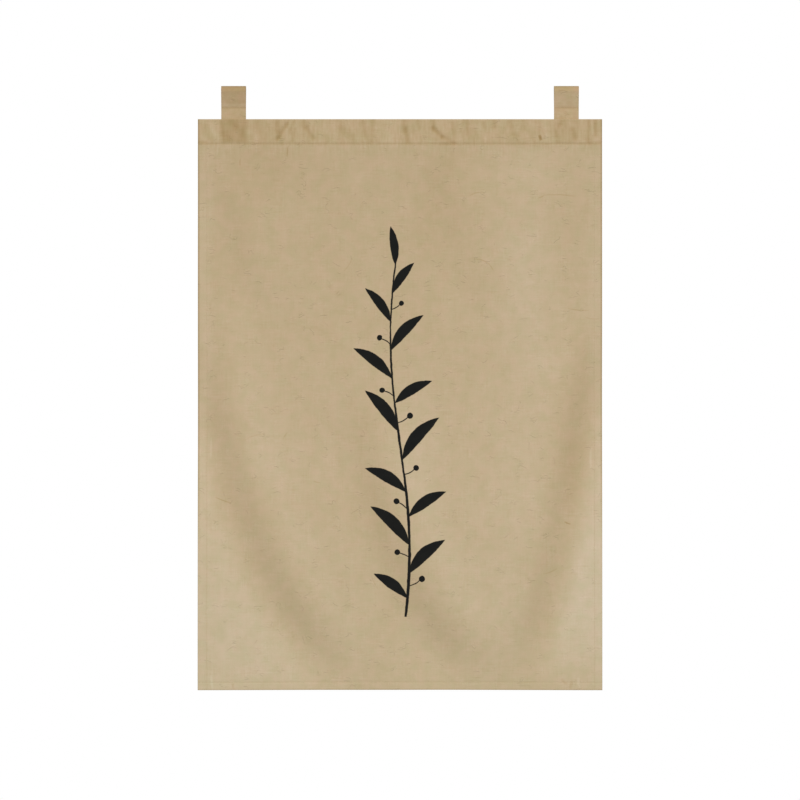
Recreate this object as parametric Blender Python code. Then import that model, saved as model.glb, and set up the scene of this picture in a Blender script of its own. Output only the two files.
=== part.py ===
"""Noren curtain: one hemmed rectangle of canvas that hangs from two sewn loop tabs.

X runs across the cloth, +Z is up and the printed face looks towards -Y. The origin is midway
between the two loops, on the underside of their crowns, where a rod's top would run.
"""

from math import asin, cos, exp, hypot, pi, radians, sin, tan
from typing import NamedTuple

import bmesh
import bpy

# Driving dimensions, in metres
PANEL_WIDTH = 0.850
PANEL_LENGTH = 1.200
CLOTH = 0.0012
DOUBLED_CLOTH = 2 * CLOTH
HEADING_HEIGHT = 0.053
SIDE_HEM = 0.0195
BOTTOM_HEM = 0.018
HEM_STEP = 0.0010
TAB_WIDTH = 0.052
TAB_CENTRE_X = 0.350
TAB_RISE = 0.070
LOOP_HEIGHT = 0.045
LOOP_RADIUS = 0.009
TAIL_LENGTH = 0.048
SEWN_GAP = 0.0003

# Fineness of the grid that carries the folds, and the tolerance for what counts as even
COLUMN_SPACING = 0.0235
ROW_SPACING = 0.0270
HEADING_ROWS = 4
HEADING_CUTS = 2
CROWN_STEPS = 20
SHARP_ANGLE = radians(35)
EVEN = 1.0e-5

# Levels that follow from the sizes above
CROWN_TOP_Z = CLOTH
PANEL_TOP_Z = CROWN_TOP_Z - TAB_RISE
LOOP_SEAM_Z = CROWN_TOP_Z - LOOP_HEIGHT
TAIL_END_Z = PANEL_TOP_Z - TAIL_LENGTH
PANEL_BACK_Y = -(CLOTH + SEWN_GAP)
PANEL_FACE_Y = PANEL_BACK_Y - DOUBLED_CLOTH
HALF_WIDTH = PANEL_WIDTH / 2

# The folds fade in below the heading, over this length
FOLD_START = 0.053
FOLD_FADE = 0.130
SWAG_FADE_IN = 0.30
SWAG_FADE_OUT = 0.26
SWAG_STEPS = 24


class Swag(NamedTuple):
    """A fold that swings down the cloth from its head, round its bend, to its foot.

    Places are distances from the panel's middle (x) and from its top edge (drop). The ridge
    stands towards the viewer on one side of the line, +1 for the +X side, and the trough lies
    on the other.
    """

    head_x: float
    head_drop: float
    bend_x: float
    bend_drop: float
    foot_x: float
    foot_drop: float
    half_width: float
    depth: float
    ridge_side: int


class Swell(NamedTuple):
    """A broad swelling of the cloth towards the viewer."""

    x: float
    drop: float
    spread_x: float
    spread_drop: float
    rise: float


class Pucker(NamedTuple):
    """A short crease in the heading, pressed in from the front."""

    head_x: float
    head_drop: float
    foot_x: float
    foot_drop: float
    half_width: float
    depth: float


# The three deep folds, left to right, then the two faint ones near the top
SWAGS = (
    #    head x, drop    bend x, drop    foot x, drop   half     depth   ridge
    Swag(-0.406, 0.350, -0.385, 0.925, -0.076, 1.205, 0.042, 0.0084, 1),
    Swag(-0.085, 0.510, -0.080, 0.975, 0.212, 1.205, 0.050, 0.0090, 1),
    Swag(0.410, 0.350, 0.345, 0.850, 0.244, 1.205, 0.040, 0.0086, -1),
    Swag(-0.395, 0.070, -0.345, 0.260, -0.265, 0.440, 0.036, 0.0026, 1),
    Swag(0.070, 0.040, 0.120, 0.200, 0.150, 0.440, 0.036, 0.0026, 1),
)

# The lower corners stand forward, and the middle bellies a little
SWELLS = (
    #     x,     drop,  spreads,      rise
    Swell(-0.440, 1.230, 0.150, 0.340, 0.0120),
    Swell(0.440, 1.240, 0.140, 0.380, 0.0125),
    Swell(0.000, 0.720, 0.230, 0.280, 0.0070),
    Swell(0.255, 0.250, 0.070, 0.200, 0.0030),
)

# The creases that the gathered heading took in sewing
PUCKERS = (
    #      head x, drop   foot x, drop   half     depth
    Pucker(-0.236, 0.002, -0.257, 0.044, 0.0065, 0.0014),
    Pucker(-0.202, 0.010, -0.186, 0.037, 0.0065, 0.0012),
    Pucker(-0.057, 0.002, -0.059, 0.048, 0.0070, 0.0009),
    Pucker(0.014, 0.005, 0.014, 0.050, 0.0065, 0.0012),
    Pucker(0.068, 0.006, 0.100, 0.046, 0.0065, 0.0014),
    Pucker(0.145, 0.004, 0.156, 0.030, 0.0065, 0.0008),
    Pucker(0.231, 0.008, 0.246, 0.035, 0.0065, 0.0008),
    Pucker(0.401, 0.004, 0.401, 0.047, 0.0060, 0.0008),
)

CLOTH_COLOUR = (0.508, 0.398, 0.244, 1.0)
TAB_COLOUR = (0.456, 0.348, 0.205, 1.0)
CLOTH_ROUGHNESS = 0.92


def ease(value: float) -> float:
    """Return 0 to 1 as value goes from 0 to 1, level at both ends."""
    share = min(max(value, 0.0), 1.0)
    return share * share * (3.0 - 2.0 * share)


def curve_point(swag: Swag, share: float) -> tuple[float, float]:
    """Return the place (x, drop) on a swag's line, share of the way from its head to its foot."""
    head = (1.0 - share) ** 2
    bend = 2.0 * share * (1.0 - share)
    foot = share**2
    x = head * swag.head_x + bend * swag.bend_x + foot * swag.foot_x
    drop = head * swag.head_drop + bend * swag.bend_drop + foot * swag.foot_drop
    return x, drop


def nearest_on_segment(
    place: tuple[float, float], start: tuple[float, float], end: tuple[float, float]
) -> tuple[float, float, float]:
    """Return the distance to a segment, the side (+1 for +X going down) and the share along it."""
    run_x = end[0] - start[0]
    run_drop = end[1] - start[1]
    away_x = place[0] - start[0]
    away_drop = place[1] - start[1]
    share = (away_x * run_x + away_drop * run_drop) / (run_x**2 + run_drop**2)
    share = min(max(share, 0.0), 1.0)
    distance = hypot(away_x - share * run_x, away_drop - share * run_drop)
    cross = run_drop * away_x - run_x * away_drop
    side = 1.0 if cross > 0.0 else -1.0
    return distance, side, share


def swag_relief(swag: Swag, place: tuple[float, float]) -> float:
    """Return how far a swag moves the cloth towards the viewer at a place (x, drop)."""
    nearest = (1.0e9, 1.0, 0.0)
    for step in range(SWAG_STEPS):
        start = curve_point(swag, step / SWAG_STEPS)
        end = curve_point(swag, (step + 1) / SWAG_STEPS)
        distance, side, share = nearest_on_segment(place, start, end)
        if distance < nearest[0]:
            nearest = (distance, side, (step + share) / SWAG_STEPS)
    distance, side, along = nearest
    reach = side * swag.ridge_side * distance / swag.half_width
    fade = ease(along / SWAG_FADE_IN) * ease((1.0 - along) / SWAG_FADE_OUT)
    return swag.depth * fade * reach * exp(0.5 - 0.5 * reach**2)


def swell_relief(swell: Swell, place: tuple[float, float]) -> float:
    """Return how far a swell moves the cloth towards the viewer at a place (x, drop)."""
    across = (place[0] - swell.x) / swell.spread_x
    down = (place[1] - swell.drop) / swell.spread_drop
    return swell.rise * exp(-0.5 * (across**2 + down**2))


def pucker_relief(pucker: Pucker, place: tuple[float, float]) -> float:
    """Return how far a heading crease pulls the cloth back at a place (x, drop)."""
    head = (pucker.head_x, pucker.head_drop)
    foot = (pucker.foot_x, pucker.foot_drop)
    distance, _, _ = nearest_on_segment(place, head, foot)
    return pucker.depth * exp(-((distance / pucker.half_width) ** 2))


def face_y(x: float, drop: float) -> float:
    """Return the Y of the panel's printed face at a place."""
    place = (x, drop)
    folds = sum(swag_relief(swag, place) for swag in SWAGS)
    folds += sum(swell_relief(swell, place) for swell in SWELLS)
    folds *= ease((drop - FOLD_START) / FOLD_FADE)
    creases = sum(pucker_relief(pucker, place) for pucker in PUCKERS)
    return PANEL_FACE_Y - folds + creases


def thickness(x: float, drop: float) -> float:
    """Return the panel's thickness at a place: doubled in the heading and the hems."""
    into_field = min(
        HALF_WIDTH - SIDE_HEM - abs(x),
        drop - HEADING_HEIGHT,
        PANEL_LENGTH - BOTTOM_HEM - drop,
    )
    thinned = min(max(into_field / HEM_STEP, 0.0), 1.0)
    return DOUBLED_CLOTH - (DOUBLED_CLOTH - CLOTH) * thinned


def evenly(start: float, end: float, spacing: float) -> list[float]:
    """Return lines from start to end, both included, about a spacing apart."""
    count = round((end - start) / spacing)
    return [start + (end - start) * index / count for index in range(count + 1)]


def column_lines() -> list[float]:
    """Return the grid's X lines: the edges, the side hems and even columns between them."""
    inner = HALF_WIDTH - SIDE_HEM - HEM_STEP
    hem = HALF_WIDTH - SIDE_HEM
    return [-HALF_WIDTH, -hem, *evenly(-inner, inner, COLUMN_SPACING), hem, HALF_WIDTH]


def row_lines() -> list[float]:
    """Return the grid's drops: the heading's rows, the field's rows and the bottom hem."""
    heading = evenly(0.0, HEADING_HEIGHT, HEADING_HEIGHT / HEADING_ROWS)
    hem = PANEL_LENGTH - BOTTOM_HEM
    field = evenly(HEADING_HEIGHT + HEM_STEP, hem - HEM_STEP, ROW_SPACING)
    return [*heading, *field, hem, PANEL_LENGTH]


def heading_edges(sheet: bmesh.types.BMesh) -> list[bmesh.types.BMEdge]:
    """Return the level edges in the heading, apart from those that cross a hem's step."""
    chosen = []
    for edge in sheet.edges:
        start, end = (vert.co for vert in edge.verts)
        level = abs(start.z - end.z) < EVEN
        in_heading = -start.z < HEADING_HEIGHT + EVEN
        wide = abs(start.x - end.x) > HEM_STEP + EVEN
        if level and in_heading and wide:
            chosen.append(edge)
    return chosen


def sheet_grid(columns: list[float], rows: list[float]) -> bmesh.types.BMesh:
    """Return a flat sheet of quads on the given X lines and drops, its heading cut finer."""
    sheet = bmesh.new()
    points = [[sheet.verts.new((x, 0.0, -drop)) for x in columns] for drop in rows]
    for upper, lower in zip(points, points[1:]):
        for index in range(len(columns) - 1):
            corners = (upper[index], lower[index], lower[index + 1], upper[index + 1])
            sheet.faces.new(corners)
    bmesh.ops.subdivide_edges(
        sheet, edges=heading_edges(sheet), cuts=HEADING_CUTS, use_grid_fill=True
    )
    return sheet


def build_panel() -> bmesh.types.BMesh:
    """Return the hemmed panel as one closed solid, its folds worked into both faces."""
    solid = sheet_grid(column_lines(), row_lines())
    grown = bmesh.ops.extrude_face_region(solid, geom=solid.faces[:])
    back = {item for item in grown["geom"] if isinstance(item, bmesh.types.BMVert)}
    for vert in solid.verts:
        x = vert.co.x
        drop = -vert.co.z
        depth = thickness(x, drop) if vert in back else 0.0
        vert.co = (x, face_y(x, drop) + depth, PANEL_TOP_Z - drop)
    bmesh.ops.triangulate(solid, faces=solid.faces[:])
    bmesh.ops.recalc_face_normals(solid, faces=solid.faces[:])
    return solid


def loop_section(solid: bmesh.types.BMesh) -> list[bmesh.types.BMFace]:
    """Draw a tab's cross-section at X = 0: two sewn layers that open into a round-topped loop."""
    centre_z = -LOOP_RADIUS
    lean = asin(LOOP_RADIUS / (centre_z - LOOP_SEAM_Z))
    shoulder_z = LOOP_SEAM_Z - CLOTH * tan(lean / 2)
    inner = []
    outer = []
    for step in range(CROWN_STEPS + 1):
        angle = -lean + (pi + 2 * lean) * step / CROWN_STEPS
        for ring, radius in ((inner, LOOP_RADIUS), (outer, LOOP_RADIUS + CLOTH)):
            height = centre_z + radius * sin(angle)
            ring.append(solid.verts.new((0.0, radius * cos(angle), height)))
    seam = solid.verts.new((0.0, 0.0, LOOP_SEAM_Z))
    right = solid.verts.new((0.0, CLOTH, shoulder_z))
    left = solid.verts.new((0.0, -CLOTH, shoulder_z))
    tail_right = solid.verts.new((0.0, CLOTH, TAIL_END_Z))
    tail_left = solid.verts.new((0.0, -CLOTH, TAIL_END_Z))
    inner = [seam, *inner, seam]
    outer = [right, *outer, left]
    faces = [solid.faces.new((tail_left, tail_right, right, seam, left))]
    for index in range(len(inner) - 1):
        corners = [inner[index], outer[index], outer[index + 1], inner[index + 1]]
        faces.append(solid.faces.new(corners))
    return faces


def build_tab() -> bmesh.types.BMesh:
    """Return one hanging tab as a closed solid, centred on X = 0."""
    solid = bmesh.new()
    section = loop_section(solid)
    grown = bmesh.ops.extrude_face_region(solid, geom=section)
    far_side = [item for item in grown["geom"] if isinstance(item, bmesh.types.BMVert)]
    bmesh.ops.translate(solid, verts=far_side, vec=(TAB_WIDTH, 0.0, 0.0))
    bmesh.ops.translate(solid, verts=solid.verts[:], vec=(-TAB_WIDTH / 2, 0.0, 0.0))
    bmesh.ops.recalc_face_normals(solid, faces=solid.faces[:])
    return solid


def cloth_material(name: str, colour: tuple[float, ...]) -> bpy.types.Material:
    """Return a matt cloth material."""
    material = bpy.data.materials.new(name)
    material.use_nodes = True
    shader = material.node_tree.nodes["Principled BSDF"]
    shader.inputs["Base Color"].default_value = colour
    shader.inputs["Roughness"].default_value = CLOTH_ROUGHNESS
    shader.inputs["Metallic"].default_value = 0.0
    return material


def mesh_from(solid: bmesh.types.BMesh, name: str) -> bpy.types.Mesh:
    """Turn a finished solid into a smooth-shaded mesh with crisp cut edges."""
    mesh = bpy.data.meshes.new(name)
    solid.to_mesh(mesh)
    solid.free()
    mesh.shade_smooth()
    mesh.set_sharp_from_angle(angle=SHARP_ANGLE)
    return mesh


def place(name: str, mesh: bpy.types.Mesh, material: bpy.types.Material, x: float) -> None:
    """Add one named piece to the scene, moved along X."""
    piece = bpy.data.objects.new(name, mesh)
    piece.location.x = x
    piece.data.materials.append(material)
    bpy.context.collection.objects.link(piece)


def main() -> None:
    """Build the panel and its two tabs."""
    for leftover in list(bpy.data.objects):
        bpy.data.objects.remove(leftover, do_unlink=True)
    panel_cloth = cloth_material("panel_cloth", CLOTH_COLOUR)
    tab_cloth = cloth_material("tab_cloth", TAB_COLOUR)
    place("panel", mesh_from(build_panel(), "panel"), panel_cloth, 0.0)
    for name, x in (("tab_left", -TAB_CENTRE_X), ("tab_right", TAB_CENTRE_X)):
        place(name, mesh_from(build_tab(), name), tab_cloth, x)


main()
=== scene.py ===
"""Noren curtain of cotton-linen canvas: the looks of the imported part.

The frame has three nodes: a hemmed panel and two hanging tabs, each one rigid stand-in for cloth.
This script sews the real thing over them: canvas with its soft folds and puckered heading, turned
hems, folded tabs and every stitch, then a brushed sprig on the front, a floor, lights and a camera.
Sizes are in metres; X runs across the cloth, +Z is up and the printed face looks towards -Y.
"""

import logging
from dataclasses import dataclass, field
from enum import Enum
from math import asin, cos, hypot, pi, radians, sin

import bmesh
import bpy
import numpy as np
from mathutils import Matrix, Vector

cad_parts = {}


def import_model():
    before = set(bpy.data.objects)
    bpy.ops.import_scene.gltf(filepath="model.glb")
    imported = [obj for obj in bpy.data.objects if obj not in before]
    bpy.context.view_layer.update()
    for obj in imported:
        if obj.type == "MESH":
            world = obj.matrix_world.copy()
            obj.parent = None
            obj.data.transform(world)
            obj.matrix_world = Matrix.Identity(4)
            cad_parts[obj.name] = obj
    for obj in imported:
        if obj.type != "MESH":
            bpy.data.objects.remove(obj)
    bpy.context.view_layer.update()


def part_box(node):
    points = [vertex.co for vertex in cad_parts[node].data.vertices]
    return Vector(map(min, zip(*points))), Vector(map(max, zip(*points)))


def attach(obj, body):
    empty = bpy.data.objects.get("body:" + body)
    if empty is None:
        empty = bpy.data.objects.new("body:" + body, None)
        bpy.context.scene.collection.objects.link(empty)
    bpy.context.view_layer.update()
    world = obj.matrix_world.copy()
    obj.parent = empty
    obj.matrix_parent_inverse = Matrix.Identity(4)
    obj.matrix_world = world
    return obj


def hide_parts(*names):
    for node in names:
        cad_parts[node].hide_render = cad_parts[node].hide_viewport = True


LOG = logging.getLogger("noren")
WEAVE_MAP = "weave"
# The panel's attribute that holds the light and shade painted on its cloth
PAINTED_LIGHT_MAP = "painted_light_and_shade"
# Places closer than this count as the same
EVEN = 1.0e-6


class Side(Enum):
    """The side of a line, going down the cloth."""

    LEFT = -1
    RIGHT = 1


class Face(Enum):
    """The two faces of the cloth; the value is the way that the face looks along Y."""

    FRONT = -1
    BACK = 1


def linear_colour(code: str) -> tuple[float, float, float, float]:
    """Turn an sRGB hex code into a linear colour.

    Args:
        code: The colour as #RRGGBB.

    Returns:
        The linear red, green, blue and an alpha of one.
    """
    shares = [int(code[start : start + 2], 16) / 255 for start in (1, 3, 5)]
    bent = [((share + 0.055) / 1.055) ** 2.4 if share > 0.04045 else share / 12.92 for share in shares]
    return (*bent, 1.0)


def add_node(
    tree: bpy.types.NodeTree, kind: str, *inputs: object, links: dict | None = None, **settings: object
) -> bpy.types.Node:
    """Add a node with its settings, its socket values and its links.

    Args:
        tree: The tree that the node goes in.
        kind: The node's type, without the ShaderNode that most types start with.
        *inputs: What goes in the first inputs, in their order, each a socket or a value.
        links: What goes in other inputs, by the input's name or place.
        **settings: The node's own properties.

    Returns:
        The new node.
    """
    node = tree.nodes.new(kind if kind.startswith("NodeGroup") else f"ShaderNode{kind}")
    for name, value in settings.items():
        setattr(node, name, value)
    for name, value in {**dict(enumerate(inputs)), **(links or {})}.items():
        if isinstance(value, bpy.types.NodeSocket):
            tree.links.new(value, node.inputs[name])
        else:
            node.inputs[name].default_value = value
    return node


def ease(values: np.ndarray) -> np.ndarray:
    """Return 0 to 1 as the values go from 0 to 1, level at both ends."""
    share = np.clip(values, 0.0, 1.0)
    return share * share * (3.0 - 2.0 * share)


def wander(values: np.ndarray, wavelength: float, start: float) -> np.ndarray:
    """Return an uneven wave from about -1 to 1.

    Args:
        values: Places along the wave, in metres.
        wavelength: The longest wave's length, in metres.
        start: The phase, in radians, which makes one wave differ from another.

    Returns:
        The wave's height at each place.
    """
    turn = values * (2 * pi / wavelength)
    long_wave = np.sin(turn + start)
    middle_wave = np.sin(1.63 * turn + 2.3 * start)
    short_wave = np.sin(2.71 * turn + 4.1 * start)
    return (long_wave + 0.7 * middle_wave + 0.45 * short_wave) / 1.6


@dataclass(frozen=True)
class Swag:
    """A fold that swings down the cloth from its head, round its bend, to its foot.

    Places are distances from the panel's middle (x) and from its top edge (drop). The ridge
    stands towards the viewer on one side of the line, and the trough lies on the other.
    """

    head_x: float
    head_drop: float
    bend_x: float
    bend_drop: float
    foot_x: float
    foot_drop: float
    half_width: float
    depth: float
    ridge: Side
    # Painted tones: shade down the flank, and light below and above the fold
    shade: float
    below: float
    above: float
    fade_in: float = 0.30
    fade_out: float = 0.26

    def point(self, share: float) -> tuple[float, float]:
        """Find a place on the fold's line.

        Args:
            share: The share of the way from the fold's head to its foot.

        Returns:
            The place, as x and drop.
        """
        head = (1.0 - share) ** 2
        bend = 2.0 * share * (1.0 - share)
        foot = share**2
        x = head * self.head_x + bend * self.bend_x + foot * self.foot_x
        drop = head * self.head_drop + bend * self.bend_drop + foot * self.foot_drop
        return x, drop

    def reach(self, x: np.ndarray, drop: np.ndarray, steps: int = 24) -> tuple[np.ndarray, np.ndarray]:
        """Measure places against the fold's line.

        Args:
            x: Places across the cloth.
            drop: Places down the cloth.
            steps: The number of straight runs that the fold's line is measured along.

        Returns:
            The distance from the line in half widths, above zero on the ridge's side, and how
            full the fold is there, from 0 past its ends to 1.
        """
        nearest = np.full(x.shape, np.inf)
        reach = np.zeros(x.shape)
        along = np.zeros(x.shape)
        for step in range(steps):
            start = self.point(step / steps)
            end = self.point((step + 1) / steps)
            distance, side, share = beside(x, drop, start, end)
            closer = distance < nearest
            nearest = np.where(closer, distance, nearest)
            reach = np.where(closer, side * distance, reach)
            along = np.where(closer, (step + share) / steps, along)
        full = ease(along / self.fade_in) * ease((1.0 - along) / self.fade_out)
        return self.ridge.value * reach / self.half_width, full

    def relief(self, x: np.ndarray, drop: np.ndarray) -> np.ndarray:
        """Return how far the fold moves the cloth towards the viewer at each place."""
        reach, full = self.reach(x, drop)
        return self.depth * full * reach * np.exp(0.5 - 0.5 * reach**2)

    def tone(self, x: np.ndarray, drop: np.ndarray) -> np.ndarray:
        """Work out the fold's painted shade down its flank and painted light on both sides.

        Args:
            x: Places across the cloth.
            drop: Places down the cloth.

        Returns:
            How much painted light lifts each place, below zero where painted shade dulls it.
        """
        reach, full = self.reach(x, drop)
        # In half widths off the line: the flank lies on it, the trough below and the ridge above
        # Painted shade on the flank, painted light on the trough's side and along the ridge
        flank = -self.shade * np.exp(-(reach**2))
        below = self.below * ease((-reach - 0.6) / 1.4)
        above = self.above * np.exp(-(((reach - 1.7) / 0.9) ** 2))
        return full * (flank + below + above)


@dataclass(frozen=True)
class Patch:
    """A soft patch of the cloth: its middle, how far it spreads and how much it does there."""

    x: float
    drop: float
    spread_x: float
    spread_drop: float
    most: float

    def amount(self, x: np.ndarray, drop: np.ndarray) -> np.ndarray:
        """Work out how much the patch does.

        Args:
            x: Places across the cloth.
            drop: Places down the cloth.

        Returns:
            The amount at each place, which is most at the middle.
        """
        across = (x - self.x) / self.spread_x
        down = (drop - self.drop) / self.spread_drop
        return self.most * np.exp(-0.5 * (across**2 + down**2))


class Swell(Patch):
    """A broad swelling of the cloth towards the viewer."""

    def relief(self, x: np.ndarray, drop: np.ndarray) -> np.ndarray:
        """Return how far the swell moves the cloth towards the viewer at each place."""
        return self.amount(x, drop)


class PaintedLightPatch(Patch):
    """A soft patch of painted light, or of painted shade where it is below zero."""

    def tone(self, x: np.ndarray, drop: np.ndarray) -> np.ndarray:
        """Return how much painted light lifts the tone at each place, below zero for shade."""
        return self.amount(x, drop)


@dataclass(frozen=True)
class Pucker:
    """A short crease, pressed in from the front, with the cloth a little proud beside it."""

    head_x: float
    head_drop: float
    foot_x: float
    foot_drop: float
    half_width: float
    depth: float
    painted_shade: float
    lip: float = 0.45
    lip_spread: float = 2.2

    def reach(self, x: np.ndarray, drop: np.ndarray) -> np.ndarray:
        """Measure places against the crease's line.

        Args:
            x: Places across the cloth.
            drop: Places down the cloth.

        Returns:
            The distance from the line, in half widths.
        """
        head = (self.head_x, self.head_drop)
        foot = (self.foot_x, self.foot_drop)
        distance, _, _ = beside(x, drop, head, foot)
        return distance / self.half_width

    def relief(self, x: np.ndarray, drop: np.ndarray) -> np.ndarray:
        """Work out how far the crease moves the cloth, which is mostly away from the viewer.

        Args:
            x: Places across the cloth.
            drop: Places down the cloth.

        Returns:
            How far each place moves, below zero where it moves away.
        """
        reach = self.reach(x, drop)
        return self.depth * (self.lip * np.exp(-((reach / self.lip_spread) ** 2)) - np.exp(-(reach**2)))

    def shade(self, x: np.ndarray, drop: np.ndarray) -> np.ndarray:
        """Work out how much painted shade darkens the cloth along the crease.

        Args:
            x: Places across the cloth.
            drop: Places down the cloth.

        Returns:
            How much painted shade darkens each place, below zero where painted light pales it.
        """
        return self.painted_shade * np.exp(-(self.reach(x, drop) ** 2))


def beside(
    x: np.ndarray, drop: np.ndarray, start: tuple[float, float], end: tuple[float, float]
) -> tuple[np.ndarray, np.ndarray, np.ndarray]:
    """Measure places against one straight run on the cloth.

    Args:
        x: Places across the cloth.
        drop: Places down the cloth.
        start: The run's start, as x and drop.
        end: The run's end, as x and drop.

    Returns:
        The distance to the run, the side of it (1 to the right, going down) and the share along.
    """
    run_x = end[0] - start[0]
    run_drop = end[1] - start[1]
    away_x = x - start[0]
    away_drop = drop - start[1]
    share = (away_x * run_x + away_drop * run_drop) / (run_x**2 + run_drop**2)
    share = np.clip(share, 0.0, 1.0)
    distance = np.hypot(away_x - share * run_x, away_drop - share * run_drop)
    side = np.where(run_drop * away_x - run_x * away_drop > 0.0, 1.0, -1.0)
    return distance, side, share


def line_values(
    start: Vector, end: Vector, half_width: float, bow: float, **trait: float
) -> dict[str, object]:
    """Return a bowed line's values for the sockets of its node group.

    Args:
        start: The line's start, as x and drop.
        end: The line's end, as x and drop.
        half_width: Half the line's width where it is widest.
        bow: How far the line's middle stands off the straight run.
        **trait: The value that only this kind of line has, under its socket's name.

    Returns:
        The values, under the sockets' names.
    """
    along = (end - start).normalized()
    return {
        "Start": start,
        "Along": along,
        "Across": Vector((-along.y, along.x, 0.0)),
        "Length": (end - start).length,
        "Half Width": half_width,
        "Bow": bow,
        **trait,
    }


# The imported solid's folds, and under them the finer ones that only the cloth has
SWAGS = (
    #       head x, drop    bend x, drop    foot x, drop   half     depth   ridge        painted shade, light below, above
    Swag(-0.406, 0.350, -0.385, 0.925, -0.076, 1.205, 0.042, 0.0084, Side.RIGHT, 0.030, 0.075, 0.030),
    Swag(-0.085, 0.510, -0.080, 0.975, 0.212, 1.205, 0.050, 0.0090, Side.RIGHT, 0.034, 0.000, 0.030),
    Swag(0.410, 0.350, 0.345, 0.850, 0.244, 1.205, 0.040, 0.0086, Side.LEFT, 0.036, 0.125, 0.015),
    Swag(-0.395, 0.070, -0.345, 0.260, -0.265, 0.440, 0.036, 0.0026, Side.RIGHT, 0.000, 0.000, 0.000),
    Swag(0.070, 0.040, 0.120, 0.200, 0.150, 0.440, 0.036, 0.0026, Side.RIGHT, 0.000, 0.000, 0.000),
)

SWELLS = (
    #     x,     drop,  spreads,      rise
    Swell(-0.440, 1.230, 0.150, 0.340, 0.0120),
    Swell(0.440, 1.240, 0.140, 0.380, 0.0125),
    Swell(0.000, 0.720, 0.230, 0.280, 0.0070),
    Swell(0.255, 0.250, 0.070, 0.200, 0.0030),
)

# Patches of painted light where the cloth stands out to the light, and of painted shade where it lies back
PAINTED_LIGHT_PATCHES = (
    #           x,     drop,  spreads,      painted lift
    PaintedLightPatch(-0.412, 0.320, 0.012, 0.200, 0.050),
    PaintedLightPatch(-0.414, 0.720, 0.012, 0.100, 0.035),
    PaintedLightPatch(0.412, 0.320, 0.012, 0.200, 0.045),
    PaintedLightPatch(0.268, 0.330, 0.045, 0.190, 0.065),
    PaintedLightPatch(0.220, 0.800, 0.080, 0.150, 0.035),
    PaintedLightPatch(-0.220, 0.720, 0.110, 0.055, 0.032),
    PaintedLightPatch(0.362, 0.720, 0.020, 0.080, -0.035),
    PaintedLightPatch(0.030, 0.700, 0.040, 0.080, 0.038),
    PaintedLightPatch(-0.010, 0.350, 0.130, 0.130, -0.018),
    PaintedLightPatch(-0.275, 0.110, 0.090, 0.050, -0.032),
    PaintedLightPatch(-0.350, 0.260, 0.030, 0.110, -0.020),
    PaintedLightPatch(0.085, 0.130, 0.035, 0.090, -0.034),
    PaintedLightPatch(0.270, 0.080, 0.030, 0.050, 0.018),
)

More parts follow.
